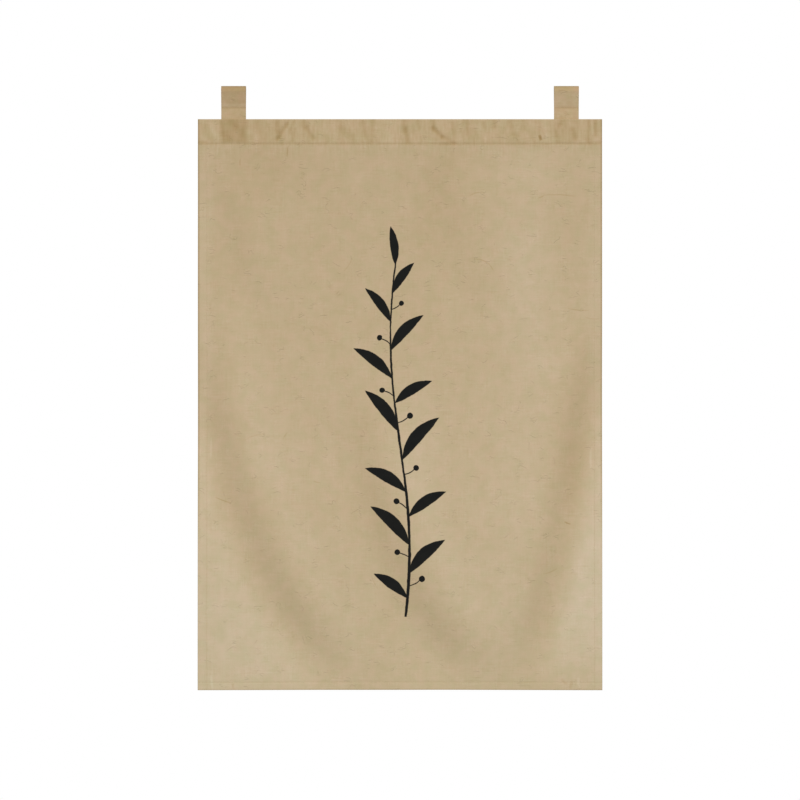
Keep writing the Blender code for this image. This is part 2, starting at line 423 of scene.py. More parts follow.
# The creases that the heading took in sewing, from left to right, and a few at and below its seam
PUCKERS = (
    #            head x, drop   foot x, drop   half     depth    painted shade
    Pucker(-0.4225, 0.048, -0.408, 0.049, 0.0035, 0.0003, 0.10),
    Pucker(-0.394, 0.014, -0.389, 0.036, 0.0055, -0.0004, -0.08),
    Pucker(-0.375, 0.006, -0.373, 0.034, 0.0045, 0.0005, 0.09),
    Pucker(-0.366, 0.031, -0.361, 0.041, 0.0070, 0.0003, 0.06),
    Pucker(-0.356, 0.006, -0.345, 0.015, 0.0062, 0.0004, 0.09),
    Pucker(-0.330, 0.022, -0.326, 0.046, 0.0060, 0.0003, 0.06),
    Pucker(-0.323, 0.002, -0.322, 0.017, 0.0042, 0.0003, 0.06),
    Pucker(-0.298, 0.004, -0.294, 0.026, 0.0058, 0.0006, 0.06),
    Pucker(-0.286, 0.012, -0.284, 0.042, 0.0200, 0.0000, 0.035),
    Pucker(-0.2585, 0.008, -0.257, 0.026, 0.0060, 0.0009, 0.16),
    Pucker(-0.239, 0.010, -0.256, 0.040, 0.0048, 0.0015, 0.14),
    Pucker(-0.256, 0.038, -0.258, 0.042, 0.0050, 0.0006, 0.10),
    Pucker(-0.233, 0.002, -0.239, 0.017, 0.0026, 0.0004, 0.09),
    Pucker(-0.223, 0.004, -0.229, 0.023, 0.0028, 0.0004, 0.08),
    Pucker(-0.232, 0.019, -0.230, 0.030, 0.0040, 0.0003, 0.06),
    Pucker(-0.221, 0.021, -0.227, 0.046, 0.0036, 0.0005, 0.08),
    Pucker(-0.202, 0.006, -0.199, 0.014, 0.0062, 0.0010, 0.09),
    Pucker(-0.197, 0.019, -0.183, 0.040, 0.0052, 0.0012, 0.13),
    Pucker(-0.130, 0.006, -0.122, 0.021, 0.0078, 0.0005, 0.07),
    Pucker(-0.122, 0.023, -0.107, 0.036, 0.0082, 0.0004, 0.05),
    Pucker(-0.077, 0.008, -0.073, 0.034, 0.0062, 0.0007, 0.09),
    Pucker(-0.058, 0.002, -0.061, 0.048, 0.0052, 0.0006, 0.07),
    Pucker(-0.024, 0.006, -0.023, 0.044, 0.0200, 0.0000, -0.04),
    Pucker(0.009, 0.006, 0.007, 0.025, 0.0062, 0.0010, 0.10),
    Pucker(0.012, 0.021, 0.016, 0.048, 0.0048, 0.0012, 0.14),
    Pucker(0.036, 0.002, 0.040, 0.019, 0.0040, 0.0004, 0.07),
    Pucker(0.068, 0.004, 0.072, 0.021, 0.0062, 0.0008, 0.09),
    Pucker(0.070, 0.019, 0.087, 0.037, 0.0048, 0.0014, 0.16),
    Pucker(0.091, 0.038, 0.114, 0.051, 0.0046, 0.0008, 0.09),
    Pucker(0.112, 0.010, 0.114, 0.040, 0.0058, 0.0003, 0.04),
    Pucker(0.141, 0.006, 0.144, 0.032, 0.0078, 0.0006, 0.08),
    Pucker(0.158, 0.023, 0.160, 0.044, 0.0060, 0.0003, 0.04),
    Pucker(0.175, 0.008, 0.176, 0.017, 0.0032, 0.0004, 0.10),
    Pucker(0.198, 0.004, 0.199, 0.015, 0.0062, 0.0006, 0.08),
    Pucker(0.232, 0.006, 0.238, 0.032, 0.0060, 0.0009, 0.09),
    Pucker(0.246, 0.034, 0.248, 0.048, 0.0042, 0.0004, 0.05),
    Pucker(0.261, 0.002, 0.263, 0.021, 0.0046, 0.0006, 0.06),
    Pucker(0.307, 0.008, 0.307, 0.044, 0.0070, -0.0002, -0.04),
    Pucker(0.3275, 0.025, 0.3285, 0.036, 0.0036, 0.0004, 0.09),
    Pucker(0.333, 0.015, 0.341, 0.006, 0.0048, 0.0004, 0.10),
    Pucker(0.364, 0.023, 0.369, 0.038, 0.0058, 0.0003, 0.09),
    Pucker(0.397, 0.004, 0.396, 0.048, 0.0044, 0.0008, 0.11),
    Pucker(0.404, 0.004, 0.404, 0.030, 0.0030, -0.0003, -0.06),
    Pucker(0.411, 0.004, 0.411, 0.034, 0.0036, 0.0006, 0.13),
    Pucker(0.085, 0.053, 0.118, 0.052, 0.0040, 0.0003, 0.07),
    Pucker(0.400, 0.051, 0.423, 0.049, 0.0040, 0.0003, 0.06),
)


@dataclass(frozen=True)
class Crease:
    """A hair-thin line that packing pressed into the cloth, drawn only as painted light and shade."""

    head_x: float
    head_drop: float
    foot_x: float
    foot_drop: float
    half_width: float
    bow: float
    # Below zero for painted shade in a trough, above zero for painted light on a ridge
    tone: float

    def values(self) -> dict[str, object]:
        """Work out the crease's socket values.

        Returns:
            The values, under the sockets' names.
        """
        head = Vector((self.head_x, self.head_drop, 0.0))
        foot = Vector((self.foot_x, self.foot_drop, 0.0))
        return line_values(head, foot, self.half_width, self.bow, Tone=self.tone)


# The longest of them, from the top down; the short ones all over the cloth are a noise
CREASES = (
    #      head x, drop   foot x, drop   half     bow      tone
    Crease(-0.2345, 0.055, -0.2375, 0.079, 0.0018, 0.0006, -0.15),
    Crease(-0.3360, 0.083, -0.3362, 0.098, 0.0018, 0.0004, -0.13),
    Crease(0.146, 0.162, 0.168, 0.155, 0.0016, -0.0020, -0.10),
    Crease(0.290, 0.166, 0.304, 0.159, 0.0016, 0.0010, -0.12),
    Crease(0.302, 0.159, 0.370, 0.162, 0.0016, -0.0012, -0.11),
    Crease(0.153, 0.294, 0.190, 0.306, 0.0016, -0.0035, -0.12),
    Crease(0.186, 0.304, 0.196, 0.319, 0.0014, -0.0010, -0.11),
    Crease(0.352, 0.398, 0.398, 0.402, 0.0017, 0.0012, -0.11),
    Crease(0.388, 0.416, 0.420, 0.420, 0.0014, 0.0015, -0.08),
    Crease(-0.118, 0.320, -0.100, 0.290, 0.0014, 0.0020, -0.08),
    Crease(-0.325, 0.674, -0.281, 0.662, 0.0014, -0.0030, -0.07),
    Crease(-0.236, 0.658, -0.246, 0.674, 0.0013, 0.0010, -0.10),
    Crease(-0.388, 0.795, -0.355, 0.807, 0.0015, 0.0008, -0.17),
    Crease(-0.183, 0.762, -0.166, 0.765, 0.0014, 0.0000, -0.12),
    Crease(0.345, 0.846, 0.359, 0.852, 0.0019, 0.0006, -0.22),
    Crease(-0.397, 0.668, -0.398, 0.716, 0.0030, 0.0000, 0.07),
    Crease(0.402, 0.690, 0.401, 0.735, 0.0026, 0.0008, 0.07),
    Crease(0.300, 0.956, 0.332, 0.944, 0.0018, 0.0020, -0.09),
    Crease(-0.060, 0.960, -0.045, 0.990, 0.0016, 0.0015, -0.07),
    Crease(-0.397, 1.168, -0.393, 1.198, 0.0032, 0.0004, 0.08),
    Crease(-0.352, 1.186, -0.350, 1.198, 0.0032, 0.0000, -0.08),
    Crease(0.362, 1.180, 0.358, 1.198, 0.0040, 0.0010, -0.08),
    Crease(0.374, 1.172, 0.378, 1.198, 0.0040, 0.0010, 0.07),
    Crease(0.338, 1.176, 0.352, 1.188, 0.0040, 0.0010, -0.07),
)


@dataclass(frozen=True)
class Cloth:
    """The canvas: its layers, its hems and how they are sewn."""

    layer: float = 0.0012
    heading: float = 0.053
    left_hem: float = 0.0205
    right_hem: float = 0.0180
    bottom_hem: float = 0.018
    hem_step: float = 0.0006
    seam_inset: float = 0.0015
    groove_depth: float = 0.00035
    groove_half_width: float = 0.0016
    puff: float = 0.00035
    puff_reach: float = 0.006
    sewn_gap: float = 0.0003


@dataclass(frozen=True)
class Ripple:
    """Small waves that a seam or an edge pulls into the cloth, which die away from it."""

    wavelength: float
    start: float
    reach: float
    height: float

    def relief(self, along: np.ndarray, off: np.ndarray) -> np.ndarray:
        """Return how far the waves move the cloth, from places along the seam and off it."""
        return self.height * wander(along, self.wavelength, self.start) * np.exp(-off / self.reach)


@dataclass
class Panel:
    """The hemmed panel: one closed sheet with its folds, turned hems and pulled seams."""

    low: Vector
    high: Vector
    tab_boxes: tuple[tuple[Vector, Vector], ...]
    cloth: Cloth = field(default_factory=Cloth)
    column: float = 0.0062
    row: float = 0.0069
    fine_foot: float = 0.040
    fold_start: float = 0.053
    fold_fade: float = 0.130
    fine_head: float = 0.026
    tail_edge: float = 0.004
    darkest_painted_shade: float = 0.22
    painted_light_start: float = 0.02
    hem_ripple: Ripple = Ripple(0.021, 0.7, 0.014, 0.00030)
    heading_ripple: Ripple = Ripple(0.026, 2.9, 0.022, 0.00022)
    side_ripple: Ripple = Ripple(0.034, 1.3, 0.016, 0.00016)
    drift_height: float = 0.00045
    rim_bevel: float = 0.0009
    rim_angle: float = radians(60)
    sharp_angle: float = radians(50)

    def __post_init__(self) -> None:
        """Work out the panel's main levels from its box."""
        self.half = (self.high.x - self.low.x) / 2
        self.length = self.high.z - self.low.z
        self.face_y = -(self.cloth.layer + self.cloth.sewn_gap) - 2 * self.cloth.layer
        self.heading_seam = self.cloth.heading - self.cloth.seam_inset
        self.bottom_seam = self.length - self.cloth.bottom_hem + self.cloth.seam_inset
        self.left_seam = -self.half + self.cloth.left_hem - self.cloth.seam_inset
        self.right_seam = self.half - self.cloth.right_hem + self.cloth.seam_inset

    def seam_distance(self, x: np.ndarray, drop: np.ndarray) -> np.ndarray:
        """Measure places against the lines of stitches.

        Args:
            x: Places across the cloth.
            drop: Places down the cloth.

        Returns:
            The distance from each place to the nearest line.
        """
        across = np.minimum(abs(drop - self.heading_seam), abs(drop - self.bottom_seam))
        upright = np.minimum(abs(x - self.left_seam), abs(x - self.right_seam))
        return np.minimum(across, upright)

    def into_field(self, x: np.ndarray, drop: np.ndarray) -> np.ndarray:
        """Measure places against the hems' turned edges.

        Args:
            x: Places across the cloth.
            drop: Places down the cloth.

        Returns:
            How far inside the turned edges each place is, negative on a hem.
        """
        sides = np.minimum(x + self.half - self.cloth.left_hem, self.half - self.cloth.right_hem - x)
        ends = np.minimum(drop - self.cloth.heading, self.length - self.cloth.bottom_hem - drop)
        return np.minimum(sides, ends)

    def small_relief(self, x: np.ndarray, drop: np.ndarray) -> np.ndarray:
        """Return the relief of sewing: puffed hems, seam grooves and the cloth's small ripples.

        Args:
            x: Places across the cloth.
            drop: Places down the cloth.

        Returns:
            How far each place stands towards the viewer.
        """
        cloth = self.cloth
        groove = np.exp(-((self.seam_distance(x, drop) / cloth.groove_half_width) ** 2))
        puff = cloth.puff * ease(-self.into_field(x, drop) / cloth.puff_reach)
        # The bottom hem is pulled more towards its corners
        corner = 1.0 + 1.4 * ease((abs(x) - 0.30) / 0.10)
        ripple = corner * self.hem_ripple.relief(x, abs(drop - self.bottom_seam))
        ripple += self.heading_ripple.relief(x, abs(drop - self.heading_seam))
        ripple += self.side_ripple.relief(drop, self.half - abs(x))
        # Two long waves that cross, each a little aslant
        drift = wander(x + 0.35 * drop, 0.190, 0.4) * wander(drop - 0.2 * x, 0.330, 1.9)
        return puff - cloth.groove_depth * groove + ripple + self.drift_height * drift

    def face(self, x: np.ndarray, drop: np.ndarray) -> np.ndarray:
        """Work out where the printed face lies.

        Args:
            x: Places across the cloth.
            drop: Places down the cloth.

        Returns:
            The face's Y at each place.
        """
        folds = sum(fold.relief(x, drop) for fold in SWAGS + SWELLS)
        folds = folds * ease((drop - self.fold_start) / self.fold_fade)
        creases = sum(pucker.relief(x, drop) for pucker in PUCKERS)
        tails = np.zeros(x.shape)
        for low, high in self.tab_boxes:
            inside = np.minimum(x - low.x, high.x - x)
            above = (self.heading_seam - drop) / self.tail_edge
            tails = np.maximum(tails, ease(inside / self.tail_edge) * ease(above))
        small = self.small_relief(x, drop)
        return self.face_y - folds - creases - small - self.cloth.sewn_gap * tails

    def thickness(self, x: np.ndarray, drop: np.ndarray) -> np.ndarray:
        """Return the cloth's thickness at each place: two layers in the heading and the hems."""
        thinned = np.clip(self.into_field(x, drop) / self.cloth.hem_step, 0.0, 1.0)
        return self.cloth.layer * (2.0 - thinned)

    def painted_light_and_shade(self, x: np.ndarray, drop: np.ndarray) -> np.ndarray:
        """Work out the light and shade painted on the cloth, in its creases and along its folds.

        Args:
            x: Places across the cloth.
            drop: Places down the cloth.

        Returns:
            The painted tone at each place, one where nothing is painted.
        """
        dark = sum(pucker.shade(x, drop) for pucker in PUCKERS)
        lift = sum(tint.tone(x, drop) for tint in SWAGS + PAINTED_LIGHT_PATCHES)
        lift = lift * ease((drop - self.heading_seam) / self.painted_light_start)
        return (1.0 - np.minimum(dark, self.darkest_painted_shade)) * (1.0 + lift)

    def cut_lines(self) -> list[tuple[Vector, Vector]]:
        """List the planes that give the grid a line at each seam.

        Returns:
            Each plane's point and normal.
        """
        cloth = self.cloth
        groove = (-cloth.groove_half_width, 0.0, cloth.groove_half_width)
        uprights = [seam + step for seam in (self.left_seam, self.right_seam) for step in groove]
        for hem, way in ((-self.half + cloth.left_hem, 1), (self.half - cloth.right_hem, -1)):
            uprights += [hem, hem + way * cloth.hem_step]
        levels = [seam + step for seam in (self.heading_seam, self.bottom_seam) for step in groove]
        turned = self.length - cloth.bottom_hem
        levels += [cloth.heading, cloth.heading + cloth.hem_step, turned, turned - cloth.hem_step]
        planes = [(Vector((x, 0.0, 0.0)), Vector((1.0, 0.0, 0.0))) for x in uprights]
        planes += [(Vector((0.0, 0.0, -drop)), Vector((0.0, 0.0, 1.0))) for drop in levels]
        return planes

    def flat_sheet(self) -> bmesh.types.BMesh:
        """Make the flat sheet, cut finer at both ends.

        Returns:
            The sheet in the XZ plane, its top edge at Z = 0.
        """
        sheet = bmesh.new()
        upright = Matrix.Rotation(radians(90), 4, "X")
        size = Matrix.Diagonal((2 * self.half, self.length, 1.0, 1.0))
        hung = Matrix.Translation((0.0, 0.0, -self.length / 2))
        bmesh.ops.create_grid(
            sheet,
            x_segments=round(2 * self.half / self.column),
            y_segments=round(self.length / self.row),
            size=0.5,
            matrix=hung @ upright @ size,
        )
        for point, normal in self.cut_lines():
            everything = sheet.verts[:] + sheet.edges[:] + sheet.faces[:]
            bmesh.ops.bisect_plane(sheet, geom=everything, dist=EVEN, plane_co=point, plane_no=normal)
        for first, last, cuts in (
            (0.0, self.heading_seam + self.fine_head, 2),
            (self.length - self.fine_foot, self.length, 1),
        ):
            fine = [
                edge
                for edge in sheet.edges
                if edge.calc_length() > self.column / 2
                and first < 0.5 * abs(edge.verts[0].co.z + edge.verts[1].co.z) + EVEN < last + 2 * EVEN
            ]
            bmesh.ops.subdivide_edges(sheet, edges=fine, cuts=cuts, use_grid_fill=True)
        return sheet

    def solid(self) -> bmesh.types.BMesh:
        """Make the closed cloth: printed face, plain back and rounded rim.

        Returns:
            The cloth, in its place.
        """
        cloth = self.flat_sheet()
        grown = bmesh.ops.extrude_face_region(cloth, geom=cloth.faces[:])
        back = {item for item in grown["geom"] if isinstance(item, bmesh.types.BMVert)}
        verts = cloth.verts[:]
        x = np.array([vert.co.x for vert in verts])
        drop = np.array([-vert.co.z for vert in verts])
        face = self.face(x, drop)
        depth = self.thickness(x, drop)
        for index, vert in enumerate(verts):
            offset = depth[index] if vert in back else 0.0
            vert.co = (x[index], face[index] + offset, self.high.z - drop[index])
        bmesh.ops.recalc_face_normals(cloth, faces=cloth.faces[:])
        rim = [
            edge
            for edge in cloth.edges
            if len(edge.link_faces) == 2
            and edge.calc_face_angle(0.0) > self.rim_angle
            and self.on_rim(edge)
        ]
        bmesh.ops.bevel(
            cloth,
            geom=rim,
            offset=self.rim_bevel,
            offset_type="OFFSET",
            segments=3,
            profile=0.5,
            affect="EDGES",
            material=-1,
            clamp_overlap=True,
        )
        return cloth

    def on_rim(self, edge: bmesh.types.BMEdge) -> bool:
        """Say whether an edge lies on the panel's outline.

        Args:
            edge: The edge.

        Returns:
            True on the outline.
        """
        first, second = (vert.co for vert in edge.verts)
        sides = min(abs(first.x), abs(second.x)) > self.half - EVEN
        top = min(first.z, second.z) > self.high.z - EVEN
        bottom = max(first.z, second.z) < self.high.z - self.length + EVEN
        return sides or top or bottom

    def build(self, front: bpy.types.Material, back: bpy.types.Material) -> bpy.types.Object:
        """Make the panel's object.

        Args:
            front: The printed face's material.
            back: The material of the back and the rim.

        Returns:
            The finished object.
        """
        cloth = self.solid()
        for one in cloth.faces:
            one.material_index = 0 if one.normal.y < -0.5 else 1
        panel = finished_object("panel_canvas", cloth, self.sharp_angle)
        mesh = panel.data
        places = np.empty(3 * len(mesh.vertices), dtype=np.float32)
        mesh.vertices.foreach_get("co", places)
        x = places[0::3]
        drop = self.high.z - places[2::3]
        corners = np.empty(len(mesh.loops), dtype=np.int32)
        mesh.loops.foreach_get("vertex_index", corners)
        weave = mesh.uv_layers.new(name=WEAVE_MAP)
        weave.data.foreach_set("uv", np.column_stack((x, drop))[corners].ravel())
        # The painted light and shade, kept on the cloth's points
        creases = mesh.attributes.new(PAINTED_LIGHT_MAP, "FLOAT", "POINT")
        creases.data.foreach_set("value", self.painted_light_and_shade(x, drop).astype(np.float32))
        mesh.materials.append(front)
        mesh.materials.append(back)
        return panel


def finished_object(name: str, mesh_data: bmesh.types.BMesh, sharp: float) -> bpy.types.Object:
    """Turn a bmesh into a linked, smooth-shaded object at the origin.

    Args:
        name: The object's name.
        mesh_data: The bmesh, which is freed.
        sharp: The angle, in radians, past which an edge stays crisp.

    Returns:
        The new object.
    """
    mesh = bpy.data.meshes.new(name)
    mesh_data.to_mesh(mesh)
    mesh_data.free()
    mesh.shade_smooth()
    mesh.set_sharp_from_angle(angle=sharp)
    made = bpy.data.objects.new(name, mesh)
    bpy.context.scene.collection.objects.link(made)
    return made


@dataclass
class HangingTab:
    """A strip of canvas folded in half into a loop, its two ends sewn behind the heading."""

    name: str
    low: Vector
    high: Vector
    loop_height: float = 0.045
    cloth: Cloth = field(default_factory=Cloth)
    step: float = 0.0021
    crown_steps: int = 30
    layer_gap: float = 0.0001
    curl: float = 0.0004
    sway: float = 0.0002
    sway_length: float = 0.038
    sway_slant: float = 0.2
    sway_start: float = 1.1
    sway_shift: float = 9.0
    loose_above: float = 0.015
    rim_bevel: float = 0.0004
    rim_angle: float = radians(50)
    sharp_angle: float = radians(60)

    def __post_init__(self) -> None:
        """Work out the loop's levels from the tab's box."""
        self.centre_x = (self.low.x + self.high.x) / 2
        self.half = (self.high.x - self.low.x) / 2
        self.outer = (self.high.y - self.low.y) / 2
        self.middle = self.cloth.layer / 2
        self.radius = self.outer - self.middle
        self.centre_z = self.high.z - self.outer
        self.seam_z = self.high.z - self.loop_height
        self.neck_run = self.seam_z - self.low.z
        self.lean = asin((self.radius - self.middle) / (self.centre_z - self.seam_z))

    def path(self) -> list[tuple[float, float]]:
        """Lay out the strip's middle line, from the front tail over the crown and down.

        Returns:
            The line's points, as Y and Z.
        """
        front = []
        neck = round(self.neck_run / self.step)
        for index in range(neck):
            front.append((-self.middle, self.low.z + self.neck_run * index / neck))
        touch_y = -self.radius * cos(self.lean)
        touch_z = self.centre_z - self.radius * sin(self.lean)
        leg = round(hypot(touch_y + self.middle, touch_z - self.seam_z) / self.step)
        for index in range(leg):
            share = index / leg
            y = -self.middle + (touch_y + self.middle) * share
            front.append((y, self.seam_z + (touch_z - self.seam_z) * share))
        crown = []
        for index in range(self.crown_steps + 1):
            angle = pi + self.lean - (pi + 2 * self.lean) * index / self.crown_steps
            crown.append((self.radius * cos(angle), self.centre_z + self.radius * sin(angle)))
        back = [(-y, z) for y, z in reversed(front)]
        return front + crown + back

    def build(self) -> bpy.types.Object:
        """Make the tab's object: a strip grown edge by edge along its path, then given its layer.

        Returns:
            The finished object.
        """
        strip = bmesh.new()
        weave = strip.loops.layers.uv.new(WEAVE_MAP)
        run = strip.verts.layers.float.new("run")
        columns = round(2 * self.half / self.step)
        rail = [
            strip.verts.new((self.centre_x - self.half + 2 * self.half * index / columns, 0.0, 0.0))
            for index in range(columns + 1)
        ]
        row = [strip.edges.new(pair) for pair in zip(rail, rail[1:])]
        path = self.path()
        travelled = 0.0
        current = rail
        place = Vector((0.0, 0.0, 0.0))
        for index, (y, z) in enumerate(path):
            goal = Vector((0.0, y, z))
            if index:
                travelled += (goal - place).length
                grown = bmesh.ops.extrude_edge_only(strip, edges=row)["geom"]
                current = [item for item in grown if isinstance(item, bmesh.types.BMVert)]
                row = [item for item in grown if isinstance(item, bmesh.types.BMEdge)]
            bmesh.ops.translate(strip, verts=current, vec=goal - place)
            for vert in current:
                vert[run] = travelled
            place = goal
        self.flat_length = travelled
        for one in strip.faces:
            one.smooth = True
            for loop in one.loops:
                loop[weave].uv = (loop.vert.co.x, loop.vert[run])
        self.unsettle(strip, run)
        bmesh.ops.recalc_face_normals(strip, faces=strip.faces[:])
        tab = finished_object(self.name, strip, self.sharp_angle)
        thick = tab.modifiers.new("layer", "SOLIDIFY")
        thick.thickness = self.cloth.layer - self.layer_gap
        thick.offset = 0.0
        rounded = tab.modifiers.new("soft_rim", "BEVEL")
        rounded.width = self.rim_bevel
        rounded.segments = 2
        rounded.limit_method = "ANGLE"
        rounded.angle_limit = self.rim_angle
        return tab

    def unsettle(self, strip: bmesh.types.BMesh, run: bmesh.types.BMLayerItem) -> None:
        """Let the loose cloth above the seam sway a little, with its edges curling in.

        Args:
            strip: The strip.
            run: The layer that holds how far along the strip each point is.
        """
        phase = self.sway_start + self.sway_shift * self.centre_x
        for vert in strip.verts:
            across = vert.co.x - self.centre_x
            above = max(vert.co.z - self.seam_z, 0.0)
            loose = min(above / self.loose_above, 1.0)
            slanted = np.array([across + self.sway_slant * vert[run]])
            wave = wander(slanted, self.sway_length, phase)[0]
            edge = abs(across) / self.half
            outward = 1.0 if vert.co.y > 0 else -1.0
            lift = loose * (self.sway * wave - self.curl * edge**4)
            vert.co.y += outward * lift


@dataclass
class Stitching:
    """Lines of lock stitch: small spindles of thread, joined into one mesh for each face."""

    pitch: float = 0.0034
    length: float = 0.0029
    thread: float = 0.00055
    flatness: float = 0.8
    proud: float = 0.00008
    sides: int = 6
    rings: int = 4
    sharp_angle: float = radians(80)
    edge_inset: float = 0.002
    end_inset: float = 0.003
    tab_inset: float = 0.0015

    def spindle(self) -> tuple[np.ndarray, np.ndarray]:
        """Make one stitch, one unit long and wide, lying along Z.

        Returns:
            The stitch's points and its faces.
        """
        stitch = bmesh.new()
        bmesh.ops.create_uvsphere(stitch, u_segments=self.sides, v_segments=self.rings, radius=0.5)
        bmesh.ops.triangulate(stitch, faces=stitch.faces[:])
        points = np.array([vert.co for vert in stitch.verts])
        faces = np.array([[vert.index for vert in one.verts] for one in stitch.faces])
        stitch.free()
        return points, faces

    def turned(self, start: Vector, end: Vector, outward: Vector) -> np.ndarray:
        """Return the matrix that lays one stitch on the cloth.

        Args:
            start: Where the stitch comes up.
            end: Where it goes down.
            outward: The way that the face looks.

        Returns:
            The matrix, which turns, sizes and places the spindle.
        """
        along = (end - start).normalized()
        across = along.cross(outward).normalized()
        lift = across.cross(along)
        middle = Matrix.Translation((start + end) / 2 + lift * self.proud)
        size = Matrix.Diagonal((self.thread, self.thread * self.flatness, (end - start).length, 1.0))
        return np.array(middle @ Matrix((across, lift, along)).transposed().to_4x4() @ size)

    def sew(self, name: str, lines: list[tuple[list[Vector], Vector]]) -> bpy.types.Object:
        """Make one object of all the stitches along the given lines.

        Args:
            name: The object's name.
            lines: Each line's stitch ends, two for each stitch, with the way its face looks.

        Returns:
            The stitches as one object, an array of the one spindle.
        """
        points, faces = self.spindle()
        laid = np.array(
            [
                self.turned(start, end, outward)
                for ends, outward in lines
                for start, end in zip(ends[::2], ends[1::2])
            ]
        )
        placed = points @ laid[:, :3, :3].transpose(0, 2, 1) + laid[:, None, :3, 3]
        numbered = faces + len(points) * np.arange(len(laid))[:, None, None]
        mesh = bpy.data.meshes.new(name)
        mesh.from_pydata(placed.reshape(-1, 3).tolist(), [], numbered.reshape(-1, 3).tolist())
        seam = bmesh.new()
        seam.from_mesh(mesh)
        bpy.data.meshes.remove(mesh)
        bmesh.ops.recalc_face_normals(seam, faces=seam.faces[:])
        return finished_object(name, seam, self.sharp_angle)

    def marks(self, run: float) -> np.ndarray:
        """Space the stitches along a run.

        Args:
            run: The run's length.

        Returns:
            The places where each stitch starts and ends.
        """
        count = int(run / self.pitch)
        starts = (np.arange(count) + 0.5) * (run / count) - self.length / 2
        return np.column_stack((starts, starts + self.length)).ravel()

    def on_panel(
        self, panel: Panel, face: Face, start: tuple[float, float], end: tuple[float, float]
    ) -> tuple[list[Vector], Vector]:
        """Lay a line of stitches on one face of the panel.

        Args:
            panel: The panel.
            face: The face that shows the stitches.
            start: The line's start, as x and drop.
            end: The line's end, as x and drop.

        Returns:
            The stitch ends and the way the face looks.
        """
        run = hypot(end[0] - start[0], end[1] - start[1])
        share = self.marks(run) / run
        x = start[0] + (end[0] - start[0]) * share
        drop = start[1] + (end[1] - start[1]) * share
        y = panel.face(x, drop)
        if face is Face.BACK:
            y = y + panel.thickness(x, drop)
        ends = [Vector((x[i], y[i], panel.high.z - drop[i])) for i in range(len(share))]
        return ends, Vector((0.0, float(face.value), 0.0))


@dataclass(frozen=True)
class ThreadFinish:
    """Spun cotton sewing thread, plied and matt.

    It is a shade darker than the canvas, so that a seam reads as one thin, even line.
    """

    name: str = "spun_cotton_thread"
    colour: str = "#BAA57F"
    lit_colour: str = "#C2AD89"
    ply: float = 0.0011
    roughness: float = 0.85
    sheen: float = 0.15

    def material(self) -> bpy.types.Material:
        """Make the thread's material, its ply drawn coarser than the real 0.4 mm so that it shows.

        Returns:
            The material.
        """
        material, tree, shader = new_material(self.name)
        place = add_node(tree, "TexCoord").outputs["Object"]
        ply = add_node(tree, "TexNoise", place, links={"Scale": 1 / self.ply}).outputs["Fac"]
        colours = {6: linear_colour(self.colour), 7: linear_colour(self.lit_colour)}
        colour = add_node(tree, "Mix", ply, links=colours, data_type="RGBA").outputs[2]
        tree.links.new(colour, shader.inputs["Base Color"])
        shader.inputs["Roughness"].default_value = self.roughness
        shader.inputs["Sheen Weight"].default_value = self.sheen
        return material


def new_material(name: str) -> tuple[bpy.types.Material, bpy.types.NodeTree, bpy.types.Node]:
    """Start a material.

    Args:
        name: The material's name.

    Returns:
        The material, its tree and its Principled BSDF.
    """
    material = bpy.data.materials.new(name)
    material.use_nodes = True
    return material, material.node_tree, material.node_tree.nodes["Principled BSDF"]


def bowed_line_group(
    name: str, carried: str, trait: str
) -> tuple[bpy.types.NodeTree, bpy.types.NodeOutputs, tuple[bpy.types.NodeSocket, ...]]:
    """Start a node group that measures places against one bowed line.

    Args:
        name: The group's name.
        carried: The value that comes in, is worked on and goes out again.
        trait: The value that only this kind of line has.

    Returns:
        The group, what it is given, and three measures of a place: its share of the way along the
        line, the line's arch there (1 at the middle, 0 at the ends) and the distance off the line.
    """
    group = bpy.data.node_groups.new(name, "ShaderNodeTree")
    face = group.interface
    for socket in ("Place", "Start", "Along", "Across"):
        face.new_socket(socket, in_out="INPUT", socket_type="NodeSocketVector")
    for socket in (carried, "Length", "Half Width", "Bow", trait):
        face.new_socket(socket, in_out="INPUT", socket_type="NodeSocketFloat")
    face.new_socket(carried, in_out="OUTPUT", socket_type="NodeSocketFloat")
    given = add_node(group, "NodeGroupInput").outputs
    gone = add_node(group, "VectorMath", given["Place"], given["Start"], operation="SUBTRACT").outputs[0]
    along, across = (
        add_node(group, "VectorMath", gone, given[way], operation="DOT_PRODUCT").outputs["Value"]
        for way in ("Along", "Across")
    )
    share = add_node(group, "Math", along, given["Length"], operation="DIVIDE").outputs[0]
    left = add_node(group, "Math", 1.0, share, operation="SUBTRACT").outputs[0]
    quarter = add_node(group, "Math", share, left, operation="MULTIPLY").outputs[0]
    arch = add_node(group, "Math", quarter, 4.0, operation="MULTIPLY").outputs[0]
    bowed = add_node(group, "Math", arch, given["Bow"], operation="MULTIPLY").outputs[0]
    off_line = add_node(group, "Math", across, bowed, operation="SUBTRACT").outputs[0]
    return group, given, (share, arch, off_line)


def chained(
    tree: bpy.types.NodeTree,
    group: bpy.types.NodeTree,
    place: bpy.types.NodeSocket,
    lines: list[dict[str, object]],
    **carried: object,
) -> bpy.types.NodeSocket:
    """Run a value through a node group once for each line.

    Args:
        tree: The material's tree.
        group: The node group.
        place: The place on the cloth, as x and drop.
        lines: Each line's socket values.
        **carried: The value to start from, under its socket's name.

    Returns:
        The value after the last line.
    """
    ((name, value),) = carried.items()
    for line in lines:
        links = {name: value, "Place": place, **line}
        value = add_node(tree, "Group", links=links, node_tree=group).outputs[name]
    return value


@dataclass(frozen=True)
class Leaf:
    """One brushed leaf: where it leaves the stem, how it leans and how big it is."""

    along: float
    lean: float
    length: float
    half_width: float
    bow: float


